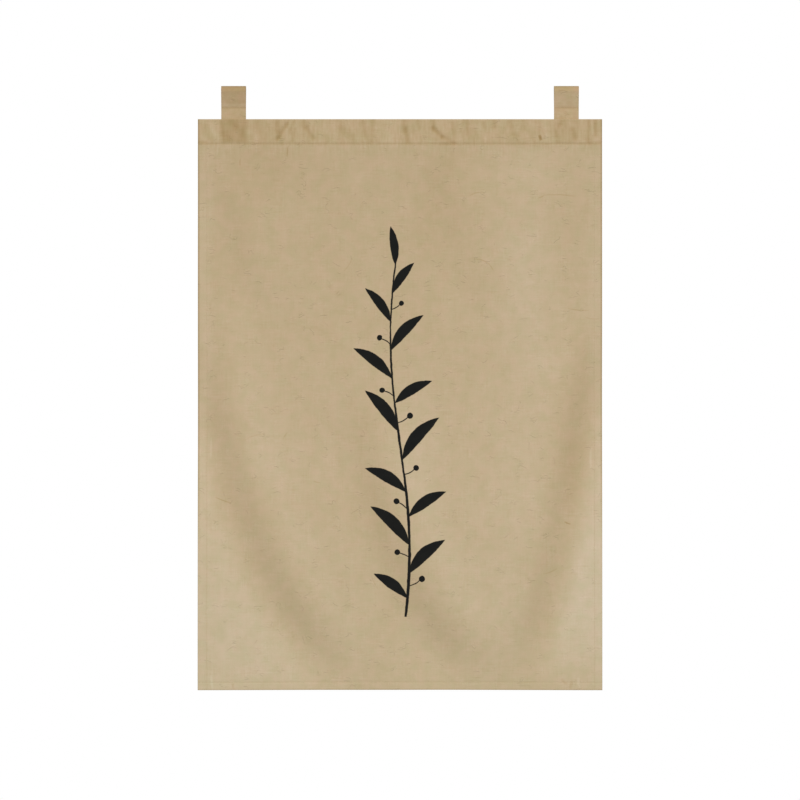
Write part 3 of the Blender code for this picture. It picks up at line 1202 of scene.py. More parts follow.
# A sprig with its leaves set by turns, from the foot to the tip
LEAVES = (
    #   along, lean, length, half    bow
    Leaf(0.05, -54, 0.088, 0.0110, 0.006),
    Leaf(0.12, 47, 0.104, 0.0125, -0.009),
    Leaf(0.20, -45, 0.116, 0.0130, 0.009),
    Leaf(0.28, 56, 0.096, 0.0115, -0.007),
    Leaf(0.35, -60, 0.100, 0.0120, 0.009),
    Leaf(0.44, 41, 0.119, 0.0130, -0.010),
    Leaf(0.52, -39, 0.112, 0.0125, 0.008),
    Leaf(0.60, 59, 0.092, 0.0110, -0.007),
    Leaf(0.67, -52, 0.104, 0.0115, 0.008),
    Leaf(0.75, 43, 0.101, 0.0115, -0.008),
    Leaf(0.83, -37, 0.089, 0.0100, 0.006),
    Leaf(0.91, 35, 0.080, 0.0095, -0.005),
    Leaf(0.99, -7, 0.083, 0.0090, 0.003),
)


@dataclass(frozen=True)
class Berry:
    """One round berry on a short stalk: where it leaves the stem and how it leans."""

    along: float
    lean: float
    stalk: float
    radius: float


# Berries in the gaps between the leaves
BERRIES = (
    #    along, lean, stalk, radius
    Berry(0.085, 62, 0.026, 0.0066),
    Berry(0.165, -66, 0.022, 0.0060),
    Berry(0.300, -52, 0.024, 0.0064),
    Berry(0.400, 62, 0.023, 0.0060),
    Berry(0.545, 60, 0.025, 0.0064),
    Berry(0.620, -62, 0.022, 0.0058),
    Berry(0.765, -56, 0.022, 0.0058),
    Berry(0.865, 58, 0.020, 0.0054),
)


@dataclass(frozen=True)
class Sprig:
    """A leafy sprig, brushed in black pigment up the middle of the cloth."""

    foot_drop: float = 1.045
    tip_drop: float = 0.300
    sway: float = 0.020
    stem_foot: float = 0.0036
    stem_tip: float = 0.0016
    stem_parts: int = 5
    stem_fullness: float = 0.12
    leaf_fullness: float = 0.95
    berry_fullness: float = 0.5
    overlap: float = 0.002
    stalk_half_width: float = 0.0012
    stalk_bow: float = 0.002
    melt: float = 0.0012

    def stem_point(self, along: float) -> Vector:
        """Return the place on the stem, as x and drop, along its way from the foot to the tip."""
        x = self.sway * sin(pi * (0.20 + 1.65 * along))
        return Vector((x, self.foot_drop + (self.tip_drop - self.foot_drop) * along, 0.0))

    def branch(self, growth: Leaf | Berry) -> tuple[Vector, Vector]:
        """Return where a leaf or a berry leaves the stem, and the way that it points."""
        turn = radians(growth.lean)
        return self.stem_point(growth.along), Vector((sin(turn), -cos(turn), 0.0))

    def strokes(self) -> list[dict[str, object]]:
        """Lay out the brush strokes: the stem's parts, then the leaves, then the berries.

        Returns:
            Each stroke's socket values.
        """
        drawn = []
        for part in range(self.stem_parts):
            start, middle, end = (
                self.stem_point((part + share) / self.stem_parts) for share in (0.0, 0.5, 1.0)
            )
            along = (end - start).normalized()
            bow = (middle - (start + end) / 2).dot(Vector((-along.y, along.x, 0.0)))
            thinned = (part + 0.5) / self.stem_parts
            width = self.stem_foot + (self.stem_tip - self.stem_foot) * thinned
            start, end = start - along * self.overlap, end + along * self.overlap
            drawn.append(line_values(start, end, width, bow, Fullness=self.stem_fullness))
        for leaf in LEAVES:
            base, way = self.branch(leaf)
            tip = base + leaf.length * way
            drawn.append(line_values(base, tip, leaf.half_width, leaf.bow, Fullness=self.leaf_fullness))
        for berry in BERRIES:
            base, way = self.branch(berry)
            near = base + berry.stalk * way
            far = near + 2.0 * berry.radius * way
            met = near + self.overlap * way
            stalk = (self.stalk_half_width, self.stalk_bow)
            drawn.append(line_values(base, met, *stalk, Fullness=self.stem_fullness))
            drawn.append(line_values(near, far, berry.radius, 0.0, Fullness=self.berry_fullness))
        return drawn

    def stroke_group(self) -> bpy.types.NodeTree:
        """Make the node group that adds one brush stroke to a distance field.

        Returns:
            The group. Its output is the smaller of the distance that comes in and the distance
            to the stroke's outline, negative inside it.
        """
        group, given, (share, arch, off_line) = bowed_line_group("brush_stroke", "Ink", "Fullness")
        held = add_node(group, "Math", arch, 0.0, operation="MAXIMUM").outputs[0]
        shape = add_node(group, "Math", held, given["Fullness"], operation="POWER").outputs[0]
        width = add_node(group, "Math", shape, given["Half Width"], operation="MULTIPLY").outputs[0]
        off = add_node(group, "Math", off_line, operation="ABSOLUTE").outputs[0]
        past_side = add_node(group, "Math", off, width, operation="SUBTRACT").outputs[0]
        from_middle = away(group, share, 0.5)
        beyond = add_node(group, "Math", from_middle, 0.5, operation="SUBTRACT").outputs[0]
        past_end = add_node(group, "Math", beyond, given["Length"], operation="MULTIPLY").outputs[0]
        outline = add_node(group, "Math", past_side, past_end, operation="MAXIMUM").outputs[0]
        joined = add_node(group, "Math", given["Ink"], outline, self.melt, operation="SMOOTH_MIN")
        add_node(group, "NodeGroupOutput", links={"Ink": joined.outputs[0]})
        return group

    def distance(self, tree: bpy.types.NodeTree, place: bpy.types.NodeSocket) -> bpy.types.NodeSocket:
        """Return the distance to the nearest painted outline, negative inside it."""
        return chained(tree, self.stroke_group(), place, self.strokes(), Ink=1.0)


@dataclass(frozen=True)
class Shade:
    """A tone that eases from one value to another as a distance grows."""

    near: float
    far: float
    first: float
    last: float

    def at(self, line: float) -> "Shade":
        """Return the same shade with its distances measured from a line."""
        return Shade(line + self.near, line + self.far, self.first, self.last)

    def over(self, tree: bpy.types.NodeTree, distance: bpy.types.NodeSocket) -> bpy.types.NodeSocket:
        """Return the tone at the given distance."""
        ends = (self.near, self.far, self.first, self.last)
        return add_node(tree, "MapRange", distance, *ends, interpolation_type="SMOOTHSTEP").outputs[0]


def away(tree: bpy.types.NodeTree, value: bpy.types.NodeSocket, line: float) -> bpy.types.NodeSocket:
    """Return the distance from a line across or along the cloth."""
    offset = add_node(tree, "Math", value, line, operation="SUBTRACT").outputs[0]
    return add_node(tree, "Math", offset, operation="ABSOLUTE").outputs[0]


def layered(tree: bpy.types.NodeTree, tones: list[bpy.types.NodeSocket]) -> bpy.types.NodeSocket:
    """Lay tones over each other.

    Args:
        tree: The material's tree.
        tones: The tones, each one where it leaves the cloth as it is.

    Returns:
        The tone of all of them together.
    """
    tone = tones[0]
    for other in tones[1:]:
        tone = add_node(tree, "Math", tone, other, operation="MULTIPLY").outputs[0]
    return tone


@dataclass(frozen=True)
class Grain:
    """One pattern of the cloth: a noise stretched along the yarns, in tone and in relief."""

    across: float
    down: float
    detail: float
    tone: float
    height: float

    def noise(
        self, tree: bpy.types.NodeTree, place: bpy.types.NodeSocket, offset: float
    ) -> bpy.types.NodeSocket:
        """Lay the pattern's noise on the cloth.

        Args:
            tree: The material's tree.
            place: The place on the cloth, as x and drop.
            offset: How far the noise is moved, so that no two patterns are alike.

        Returns:
            The noise, centred on zero.
        """
        moved = {"Location": (offset, offset, 0.0), "Scale": (1 / self.across, 1 / self.down, 1)}
        laid = add_node(tree, "Mapping", place, links=moved).outputs[0]
        made = add_node(tree, "TexNoise", laid, links={"Scale": 1.0, "Detail": self.detail})
        return add_node(tree, "Math", made.outputs["Fac"], 0.5, operation="SUBTRACT").outputs[0]


# How far the patterns' noises are moved apart
GRAIN_STEP = 3.7
SEWN_OFFSET = 11.0
TAB_OFFSET = 17.0
SHADE_BREAKS_OFFSET = 29.0
HUE_OFFSET = 41.0

# Yarns are 0.8 mm apart in the real cloth, under half a pixel from where the camera stands, so
# they are drawn twice as wide to show; a slub is a thick place in a yarn
GRAINS = (
    #    across, down,  detail, tone, height
    Grain(0.022, 0.0017, 1.0, 0.050, 0.00008),
    Grain(0.0017, 0.026, 1.0, 0.040, 0.00007),
    Grain(0.045, 0.0036, 2.0, 0.050, 0.00010),
    Grain(0.0036, 0.075, 2.0, 0.040, 0.00008),
    Grain(0.0060, 0.0048, 3.0, 0.040, 0.00004),
    Grain(0.016, 0.014, 2.0, 0.040, 0.00000),
    Grain(0.034, 0.062, 3.0, 0.060, 0.00000),
    Grain(0.130, 0.120, 3.0, 0.060, 0.00000),
)


@dataclass(frozen=True)
class CanvasFinish:
    """Plain-woven cotton-linen canvas, washed and unpressed.

    It gives the eye a dry, matt beige with no gloss: slubby yarns, faint crinkles, and warmer and
    cooler patches that run into each other.
    """

    name: str
    warm: str = "#C3AC8C"
    cool: str = "#BCAA86"
    hue_size: float = 0.026
    hue_reach: float = 0.16
    roughness: float = 0.92
    specular: float = 0.20
    sheen: float = 0.08
    sheen_roughness: float = 0.6
    slub_patch: float = 0.030
    slub_reach: tuple[float, float, float, float] = (0.40, 0.62, 0.45, 1.9)
    crinkle_size: float = 0.030
    crinkle_flatness: float = 1.6
    crinkle_crest: Shade = Shade(0.0, 0.030, 1.0, 0.0)
    crinkle_patch: float = 0.024
    crinkle_where: Shade = Shade(0.56, 0.68, 0.0, 1.0)
    crinkle_height: float = 0.00045
    crinkle_painted_shade: float = -0.018
    browning: tuple[float, float, float] = (1.0, 1.35, 2.1)

    def weave(self, tree: bpy.types.NodeTree) -> dict[str, bpy.types.NodeSocket]:
        """Add the weave's patterns.

        Args:
            tree: The material's tree.

        Returns:
            The place on the cloth, the patterns' tone, hue and height in metres.
        """
        place = add_node(tree, "UVMap", uv_map=WEAVE_MAP).outputs["UV"]
        crinkle = self.crinkle(tree, place)
        # Painted shade along the crinkles, over their bump
        dulled = (crinkle, self.crinkle_painted_shade, 1.0)
        tone = add_node(tree, "Math", *dulled, operation="MULTIPLY_ADD").outputs[0]
        height = add_node(tree, "Math", crinkle, self.crinkle_height, operation="MULTIPLY").outputs[0]
        patches = {"Scale": 1 / self.slub_patch, "Detail": 2.0}
        spread = add_node(tree, "TexNoise", place, links=patches).outputs["Fac"]
        slubby = add_node(tree, "MapRange", spread, *self.slub_reach).outputs[0]
        for index, grain in enumerate(GRAINS):
            pattern = grain.noise(tree, place, GRAIN_STEP * index)
            if grain.height:
                pattern = add_node(tree, "Math", pattern, slubby, operation="MULTIPLY").outputs[0]
                raised = (pattern, grain.height, height)
                height = add_node(tree, "Math", *raised, operation="MULTIPLY_ADD").outputs[0]
            toned = (pattern, grain.tone, tone)
            tone = add_node(tree, "Math", *toned, operation="MULTIPLY_ADD").outputs[0]
        patch = Grain(self.hue_size, self.hue_size, 3.0, 0.0, 0.0).noise(tree, place, HUE_OFFSET)
        hue = add_node(tree, "MapRange", patch, -self.hue_reach, self.hue_reach).outputs[0]
        return {"place": place, "tone": tone, "hue": hue, "height": height}

    def crinkle(self, tree: bpy.types.NodeTree, place: bpy.types.NodeSocket) -> bpy.types.NodeSocket:
        """Add the sparse short creases that a washed cloth keeps.

        Args:
            tree: The material's tree.
            place: The place on the cloth, as x and drop.

        Returns:
            The creases' height, from 0 to 1.
        """
        flatter = {"Scale": (1.0, self.crinkle_flatness, 1.0)}
        laid = add_node(tree, "Mapping", place, links=flatter).outputs[0]
        folds = {"Scale": 1 / self.crinkle_size, "Detail": 2.0, "Distortion": 0.5}
        ridges = add_node(tree, "TexNoise", laid, links=folds).outputs["Fac"]
        crest = self.crinkle_crest.over(tree, away(tree, ridges, 0.5))
        patches = {"Scale": 1 / self.crinkle_patch, "Detail": 1.0}
        spread = add_node(tree, "TexNoise", place, links=patches).outputs["Fac"]
        return layered(tree, [crest, self.crinkle_where.over(tree, spread)])

    def base(self) -> tuple[bpy.types.Material, bpy.types.NodeTree, bpy.types.Node, dict]:
        """Start the material: its matt shader, its weave and its bump.

        Returns:
            The material, its tree, its shader and the weave's patterns.
        """
        material, tree, shader = new_material(self.name)
        patterns = self.weave(tree)
        relief = {"Height": patterns["height"], "Distance": 1.0, "Strength": 1.0}
        bump = add_node(tree, "Bump", links=relief)
        tree.links.new(bump.outputs[0], shader.inputs["Normal"])
        shader.inputs["Roughness"].default_value = self.roughness
        shader.inputs["Specular IOR Level"].default_value = self.specular
        shader.inputs["Sheen Weight"].default_value = self.sheen
        shader.inputs["Sheen Roughness"].default_value = self.sheen_roughness
        return material, tree, shader, patterns

    def coloured(
        self, tree: bpy.types.NodeTree, hue: bpy.types.NodeSocket, tone: bpy.types.NodeSocket
    ) -> bpy.types.NodeSocket:
        """Return the canvas colour with its tone worked in: where it is darker it is browner too.

        Args:
            tree: The material's tree.
            hue: The share of the cooler colour.
            tone: The tone, one for the plain cloth.

        Returns:
            The colour.
        """
        colours = {6: linear_colour(self.warm), 7: linear_colour(self.cool)}
        colour = add_node(tree, "Mix", hue, links=colours, data_type="RGBA").outputs[2]
        browned = [
            add_node(tree, "Math", tone, bend, operation="POWER").outputs[0] for bend in self.browning
        ]
        scale = add_node(tree, "CombineXYZ", *browned).outputs[0]
        return add_node(tree, "VectorMath", colour, scale, operation="MULTIPLY").outputs[0]

    def plain(self) -> bpy.types.Material:
        """Make the material for a plain stretch of the canvas.

        Returns:
            The material.
        """
        material, tree, shader, patterns = self.base()
        colour = self.coloured(tree, patterns["hue"], patterns["tone"])
        tree.links.new(colour, shader.inputs["Base Color"])
        return material


@dataclass(frozen=True)
class TabFinish:
    """A tab's canvas: painted shade over the crown, blotched where hands pull it.

    It gives the eye the same cloth in two layers, a shade darker and duller than the panel.
    """

    canvas: CanvasFinish
    # The neck's tone, then the loop's tone, which is painted light and shade
    neck: float
    loop: float
    # Painted shade over the crown, painted shadow along the seam and edges, painted light above the seam
    crown: Shade = Shade(0.006, 0.023, 0.83, 1.0)
    blotch: Grain = Grain(0.011, 0.009, 2.0, 0.17, 0.0)
    edge_shade: Shade = Shade(0.0010, 0.0034, 0.985, 1.0)
    seam_shade: Shade = Shade(0.0008, 0.0032, 0.93, 1.0)
    lit_above_seam: Shade = Shade(0.0, 0.0050, 1.05, 1.0)
    turns_to_neck: tuple[float, float] = (-0.014, -0.002)
    lit_line: float = -0.0055
    seam_line: float = 0.0012

    def material(self, tab: "HangingTab") -> bpy.types.Material:
        """Make the finish for one tab, with its tones laid along the strip.

        Args:
            tab: The tab, for its seam and its edges.

        Returns:
            The material.
        """
        material, tree, shader, patterns = self.canvas.base()
        apart = add_node(tree, "SeparateXYZ", patterns["place"]).outputs
        run = away(tree, apart["Y"], tab.flat_length / 2)
        off_middle = away(tree, apart["X"], tab.centre_x)
        rim = add_node(tree, "Math", tab.half, off_middle, operation="SUBTRACT").outputs[0]
        seam = tab.flat_length / 2 - tab.neck_run
        blotch = (self.blotch.noise(tree, patterns["place"], TAB_OFFSET), self.blotch.tone, 1.0)
        tones = [
            patterns["tone"],
            self.crown.over(tree, run),
            Shade(*self.turns_to_neck, self.loop, self.neck).at(seam).over(tree, run),
            self.lit_above_seam.over(tree, away(tree, run, seam + self.lit_line)),
            self.seam_shade.over(tree, away(tree, run, seam + self.seam_line)),
            self.edge_shade.over(tree, rim),
            add_node(tree, "Math", *blotch, operation="MULTIPLY_ADD").outputs[0],
        ]
        colour = self.canvas.coloured(tree, patterns["hue"], layered(tree, tones))
        tree.links.new(colour, shader.inputs["Base Color"])
        return material


@dataclass(frozen=True)
class PrintedFace:
    """The panel's front: canvas with painted shade and light, a darker heading and the brushed sprig.

    The print is matt black pigment. It gives the eye a flat, dry black with slightly ragged edges,
    because a loaded brush wavers on the open weave.
    """

    canvas: CanvasFinish
    sprig: Sprig = field(default_factory=Sprig)
    ink: str = "#0A0B09"
    worn_ink: str = "#11120F"
    ink_edge: Shade = Shade(-0.0007, 0.0007, 1.0, 0.0)
    shakes: tuple[tuple[float, float], ...] = ((0.016, 0.0022), (0.0032, 0.0010))
    # Painted shadow along the seams' grooves
    seam_shade: Shade = Shade(0.0006, 0.0046, 0.91, 1.0)
    seam_line: float = 0.0005
    seam_least: float = 0.55
    hem_shade: Shade = Shade(0.0004, 0.0022, 0.975, 1.0)
    hems_show: Shade = Shade(0.35, 0.85, 0.15, 1.0)
    below_seam: Shade = Shade(0.0, 0.0025, 0.985, 1.0)
    # Painted shade, darker towards the top
    painted_shade_at_top: Shade = Shade(0.05, 0.50, 0.980, 1.0)
    # Painted shade along the side and foot edges, on the sides fading out towards the bottom
    painted_side_rim_shade: Shade = Shade(-0.0042, -0.0016, 1.0, 0.80)
    side_rim_shows: Shade = Shade(0.70, 0.95, 1.0, 0.1)
    painted_foot_rim_shade: Shade = Shade(-0.0036, -0.0014, 1.0, 0.93)
    # A noise that breaks the painted seam shadows up, so that they show in places
    shade_breaks: Grain = Grain(0.045, 0.050, 2.0, 3.0, 0.0)
    shade_breaks_middle: float = 0.55
    patches: tuple[float, float] = (0.130, 0.048)
    patch_side: Shade = Shade(-0.0075, 0.0060, 1.0, 0.0)
    patch_foot: Shade = Shade(-0.006, 0.001, 1.0, 0.0)
    # A small stain near the right tab, drawn through the creases' node group
    spot: Crease = Crease(0.2930, 0.0330, 0.2970, 0.0450, 0.0040, 0.0, -0.34)
    # Painted light and shade of small gathers in the heading, with no relief under them
    painted_gathers: Grain = Grain(0.0050, 0.0300, 2.0, 0.20, 0.0)
    painted_gathers_held: Shade = Shade(-0.004, 0.045, 1.0, 0.0)
    blotches: Grain = Grain(0.0130, 0.0110, 2.0, 0.10, 0.0)
    blotches_held: Shade = Shade(-0.004, 0.004, 1.0, 0.12)
    high_up: Shade = Shade(0.0, 0.003, 1.0, 0.0)
    low_down: Shade = Shade(0.70, 1.12, 0.0, 1.0)
    browned: tuple[float, float, float] = (0.995, 0.982, 0.945)
    greyed: tuple[float, float, float] = (0.976, 1.0, 1.014)

    def shades(
        self, tree: bpy.types.NodeTree, place: bpy.types.NodeSocket, panel: Panel
    ) -> list[bpy.types.NodeSocket]:
        """Work out the layers' tones, and the light and shade painted at seams, edges and creases.

        Args:
            tree: The material's tree.
            place: The place on the cloth, as x and drop.
            panel: The panel, for where its seams run.

        Returns:
            The tones, each one where it leaves the cloth as it is.
        """
        apart = add_node(tree, "SeparateXYZ", place).outputs
        x = apart["X"]
        drop = apart["Y"]
        seam = panel.heading_seam
        uneven = (self.shade_breaks.noise(tree, place, SHADE_BREAKS_OFFSET), self.shade_breaks.tone, self.shade_breaks_middle)
        shade_shown = add_node(tree, "Math", *uneven, operation="MULTIPLY_ADD").outputs[0]
        painted_side_rim_shade = self.painted_side_rim_shade.at(panel.half).over(tree, away(tree, x, 0.0))
        seam_shade = self.seam_shade.over(tree, away(tree, drop, seam + self.seam_line))
        tones = [
            add_node(tree, "Attribute", attribute_name=PAINTED_LIGHT_MAP).outputs["Fac"],
            self.below_seam.at(seam).over(tree, drop),
            self.painted_shade_at_top.over(tree, drop),
            self.partly(tree, painted_side_rim_shade, self.side_rim_shows.over(tree, drop)),
            self.painted_foot_rim_shade.at(panel.length).over(tree, drop),
            self.partly(tree, seam_shade, shade_shown, self.seam_least),
        ]
        sides = layered(tree, [shade_shown, self.hems_show.over(tree, drop)])
        for line, value, shown in (
            (panel.bottom_seam, drop, shade_shown),
            (panel.left_seam, x, sides),
            (panel.right_seam, x, sides),
        ):
            tones.append(self.partly(tree, self.hem_shade.over(tree, away(tree, value, line)), shown))
        for (low, high), depth in zip(panel.tab_boxes, self.patches):
            off_middle = away(tree, x, (low.x + high.x) / 2)
            across = self.patch_side.at((high.x - low.x) / 2).over(tree, off_middle)
            patch = layered(tree, [across, self.patch_foot.at(seam).over(tree, drop)])
            tones.append(add_node(tree, "Math", patch, -depth, 1.0, operation="MULTIPLY_ADD").outputs[0])
        for grain, held in ((self.painted_gathers, self.painted_gathers_held), (self.blotches, self.blotches_held)):
            pattern = layered(tree, [grain.noise(tree, place, SEWN_OFFSET), held.at(seam).over(tree, drop)])
            tones.append(
                add_node(tree, "Math", pattern, grain.tone, 1.0, operation="MULTIPLY_ADD").outputs[0]
            )
        return tones

    @staticmethod
    def partly(
        tree: bpy.types.NodeTree,
        shade: bpy.types.NodeSocket,
        shade_shown: bpy.types.NodeSocket,
        least: float = 0.0,
    ) -> bpy.types.NodeSocket:
        """Hold a painted shade back where a noise says, so that it shows only in places.

        Args:
            tree: The material's tree.
            shade: The shade.
            shade_shown: How much of the shade is left, from 0 to 1.
            least: The share of the shade that always stays.

        Returns:
            The shade that is left.
        """
        share = add_node(tree, "MapRange", shade_shown, 0.0, 1.0, least, 1.0).outputs[0]
        depth = add_node(tree, "Math", shade, 1.0, operation="SUBTRACT").outputs[0]
        return add_node(tree, "Math", depth, share, 1.0, operation="MULTIPLY_ADD").outputs[0]

    def crease_group(self) -> bpy.types.NodeTree:
        """Make the node group that adds a pressed crease's painted light and shade to the marks.

        Returns:
            The group. Its output is the mark that comes in plus the crease's own tone where the
            crease runs, thinning out towards its ends.
        """
        group, given, (_, arch, off_line) = bowed_line_group("painted_crease_shade_and_stain", "Mark", "Tone")
        reach = add_node(group, "Math", off_line, given["Half Width"], operation="DIVIDE").outputs[0]
        square = add_node(group, "Math", reach, reach, operation="MULTIPLY").outputs[0]
        bell = add_node(group, "Math", 1.0, square, operation="SUBTRACT").outputs[0]
        full = add_node(group, "Math", bell, 0.0, operation="MAXIMUM").outputs[0]
        inside = add_node(group, "Math", arch, 0.0, operation="MAXIMUM").outputs[0]
        taper = add_node(group, "Math", inside, 0.5, operation="POWER").outputs[0]
        mark = layered(group, [full, taper, given["Tone"]])
        added = add_node(group, "Math", given["Mark"], mark, operation="ADD").outputs[0]
        add_node(group, "NodeGroupOutput", links={"Mark": added})
        return group

    def marks(self, tree: bpy.types.NodeTree, place: bpy.types.NodeSocket) -> bpy.types.NodeSocket:
        """Return the pressed creases' painted light and shade, with the spot's stain."""
        lines = [crease.values() for crease in (*CREASES, self.spot)]
        return chained(tree, self.crease_group(), place, lines, Mark=0.0)

    def ragged_place(self, tree: bpy.types.NodeTree, place: bpy.types.NodeSocket) -> bpy.types.NodeSocket:
        """Shake the place on the cloth, as a loaded brush wavers on open weave.

        Args:
            tree: The material's tree.
            place: The place on the cloth, as x and drop.

        Returns:
            The shaken place.
        """
        for size, shake in self.shakes:
            noise = add_node(tree, "TexNoise", place, links={"Scale": 1 / size, "Detail": 1.0})
            way = noise.outputs["Color"]
            way = add_node(tree, "VectorMath", way, (0.5, 0.5, 0.5), operation="SUBTRACT").outputs[0]
            way = add_node(tree, "VectorMath", way, (shake, shake, 0.0), operation="MULTIPLY").outputs[0]
            place = add_node(tree, "VectorMath", place, way, operation="ADD").outputs[0]
        return place

    def material(self, panel: Panel) -> bpy.types.Material:
        """Make the printed face's material.

        Args:
            panel: The panel, for where its seams run.

        Returns:
            The material.
        """
        material, tree, shader, patterns = self.canvas.base()
        place = patterns["place"]
        shaken = self.ragged_place(tree, place)
        marked = add_node(tree, "Math", self.marks(tree, shaken), 1.0, operation="ADD").outputs[0]
        tone = layered(tree, [*self.shades(tree, place, panel), marked, patterns["tone"]])
        cloth = self.canvas.coloured(tree, patterns["hue"], tone)
        drop = add_node(tree, "SeparateXYZ", place).outputs["Y"]
        high_up = self.high_up.at(panel.heading_seam)
        for reach, tint in ((high_up, self.browned), (self.low_down, self.greyed)):
            ends = {4: (1.0, 1.0, 1.0), 5: tint}
            tinted = add_node(tree, "Mix", reach.over(tree, drop), links=ends, data_type="VECTOR")
            cloth = add_node(tree, "VectorMath", cloth, tinted.outputs[1], operation="MULTIPLY").outputs[0]
        inked = self.ink_edge.over(tree, self.sprig.distance(tree, shaken))
        inks = {6: linear_colour(self.ink), 7: linear_colour(self.worn_ink)}
        pigment = add_node(tree, "Mix", patterns["hue"], links=inks, data_type="RGBA").outputs[2]
        colour = add_node(tree, "Mix", inked, links={6: cloth, 7: pigment}, data_type="RGBA").outputs[2]
        tree.links.new(colour, shader.inputs["Base Color"])
        return material


@dataclass(frozen=True)
class Studio:
    """A pale floor, soft lights and the camera, straight in front of the cloth."""

    top_z: float
    frame_width: float = 1.683
    lens: float = 200.0
    top_row: float = 86.0
    image_rows: float = 800.0
    sensor: float = 36.0
    backdrop_light: float = 0.30
    floor_z: float = -1.95
    floor_radius: float = 1.9
    floor_thins: Shade = Shade(0.9, 1.85, 1.0, 0.0)
    floor_colour: str = "#CFCDC8"

    def camera(self) -> None:
        """Set the camera level, facing the cloth, at the photo's scale."""
        data = bpy.data.cameras.new("camera")
        data.sensor_width = self.sensor
        data.lens = self.lens
        view = bpy.data.objects.new("camera", data)
        middle = self.image_rows / 2
        pixel = self.frame_width / self.image_rows
        distance = self.frame_width * self.lens / self.sensor
        view.location = (0.0, -distance, self.top_z - (middle - self.top_row) * pixel)
        view.rotation_euler = (radians(90), 0.0, 0.0)
        bpy.context.scene.collection.objects.link(view)
        bpy.context.scene.camera = view

    def world(self) -> None:
        """Set a white backdrop that lights the cloth evenly, but less than it shows."""
        world = bpy.data.worlds.new("studio")
        bpy.context.scene.world = world
        world.use_nodes = True
        tree = world.node_tree
        tree.nodes.clear()
        seen = add_node(tree, "LightPath").outputs["Is Camera Ray"]
        strength = add_node(tree, "MapRange", seen, 0.0, 1.0, self.backdrop_light, 1.0).outputs[0]
        white = add_node(tree, "Background", (1.0, 1.0, 1.0, 1.0), strength)
        add_node(tree, "OutputWorld", white.outputs[0])

    def floor(self) -> bpy.types.Object:
        """Make the floor, a pale disc that thins out towards its rim like a paper sweep.

        Returns:
            The floor's object.
        """
        disc = bmesh.new()
        bmesh.ops.create_circle(
            disc,
            cap_ends=True,
            segments=96,
            radius=self.floor_radius,
            matrix=Matrix.Translation((0.0, 0.0, self.floor_z)),
        )
        floor = finished_object("studio_floor", disc, radians(30))
        # Matt paint: it gives the eye an even, pale ground that fades into the backdrop
        material, tree, shader = new_material("pale_floor_paint")
        place = add_node(tree, "TexCoord").outputs["Object"]
        flat = add_node(tree, "VectorMath", place, (1.0, 1.0, 0.0), operation="MULTIPLY").outputs[0]
        reach = add_node(tree, "VectorMath", flat, operation="LENGTH").outputs["Value"]
        tree.links.new(self.floor_thins.over(tree, reach), shader.inputs["Alpha"])
        shader.inputs["Base Color"].default_value = linear_colour(self.floor_colour)
        shader.inputs["Roughness"].default_value = 0.8
        floor.data.materials.append(material)
        return floor

    def sun(self, name: str, place: tuple, strength: float, spread: float) -> None:
        """Add one wide, even light from far off.

        Args:
            name: The light's name.
            place: A point that it shines from, towards the origin.
            strength: Its strength in watts a square metre.
            spread: The angle that it fills, in degrees, which softens its shadows.
        """
        data = bpy.data.lights.new(name, "SUN")
        data.energy = strength
        data.angle = radians(spread)
        lamp = bpy.data.objects.new(name, data)
        lamp.location = place
        lamp.rotation_euler = (-Vector(place)).to_track_quat("-Z", "Y").to_euler()
        bpy.context.scene.collection.objects.link(lamp)

    def build(self) -> None:
        """Set up the whole studio."""
        self.camera()
        self.world()
        self.sun("key", (0.02, -1.0, 0.60), 2.40, 30.0)
        self.sun("back", (0.35, 1.0, 0.14), 1.9, 60.0)
        self.floor()
        bpy.context.scene.view_settings.view_transform = "Standard"


def tab_stitches(sewing: Stitching, tab: HangingTab, face: Face) -> tuple[list[Vector], Vector]:
    """Lay the line of stitches that closes a tab's loop.

    Args:
        sewing: The stitches' sizes.
        tab: The tab.
        face: The face that shows the stitches.

    Returns:
        The stitch ends and the way the face looks.
    """
    marks = sewing.marks(2 * (tab.half - sewing.tab_inset))
    y = face.value * tab.cloth.layer
    ends = [Vector((tab.low.x + sewing.tab_inset + mark, y, tab.seam_z)) for mark in marks]
    return ends, Vector((0.0, float(face.value), 0.0))


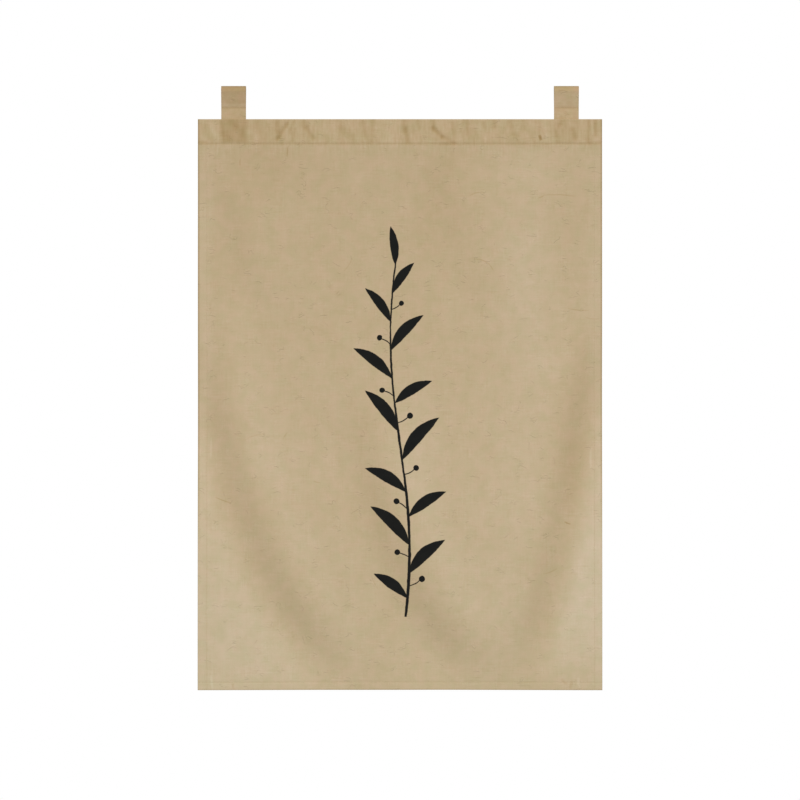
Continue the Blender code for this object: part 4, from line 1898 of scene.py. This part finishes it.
def main() -> None:
    """Build the curtain over its frame, piece by piece."""
    logging.basicConfig(level=logging.INFO, format="%(message)s")
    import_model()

    tab_boxes = tuple(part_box(name) for name in ("tab_left", "tab_right"))
    low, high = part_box("panel")
    panel = Panel(low, high, tab_boxes)
    canvas = CanvasFinish("cotton_linen_canvas_front")
    printed = PrintedFace(canvas).material(panel)
    plain = CanvasFinish("cotton_linen_canvas_back").plain()
    # Each tab: its canvas, its neck's tone and its loop's painted light and shade
    finishes = (
        TabFinish(CanvasFinish("cotton_linen_canvas_tab_left", "#C5AA89", "#BDA983"), 0.942, 0.905),
        TabFinish(CanvasFinish("cotton_linen_canvas_tab_right", "#C5AA88", "#BDA981"), 0.955, 1.010),
    )
    thread = ThreadFinish().material()

    tabs = []
    for name, node, (tab_low, tab_high), finish in zip(
        ("tab_strip_left", "tab_strip_right"), ("tab_left", "tab_right"), tab_boxes, finishes
    ):
        tab = HangingTab(name, tab_low, tab_high)
        strip = tab.build()
        strip.data.materials.append(finish.material(tab))
        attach(strip, "root")
        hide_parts(node)
        tabs.append(tab)
        LOG.info("%s: strip %.0f mm long", name, 1000 * tab.flat_length)

    sewing = Stitching()
    edge = panel.half - sewing.edge_inset
    head = panel.cloth.heading + sewing.end_inset
    foot = panel.length - sewing.end_inset
    seams = {
        "heading": ((-edge, panel.heading_seam), (edge, panel.heading_seam)),
        "bottom": ((-edge, panel.bottom_seam), (edge, panel.bottom_seam)),
        "left": ((panel.left_seam, head), (panel.left_seam, foot)),
        "right": ((panel.right_seam, head), (panel.right_seam, foot)),
    }
    for face in Face:
        lines = [sewing.on_panel(panel, face, start, end) for start, end in seams.values()]
        lines += [tab_stitches(sewing, tab, face) for tab in tabs]
        piece = sewing.sew(f"stitches_{face.name.lower()}", lines)
        piece.data.materials.append(thread)
        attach(piece, "root")
        LOG.info("%s: %d faces", piece.name, len(piece.data.polygons))

    cloth = panel.build(printed, plain)
    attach(cloth, "root")
    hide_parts("panel")
    LOG.info("%s: %d faces", cloth.name, len(cloth.data.polygons))

    Studio(top_z=tab_boxes[0][1].z).build()


if __name__ == "__main__":
    main()
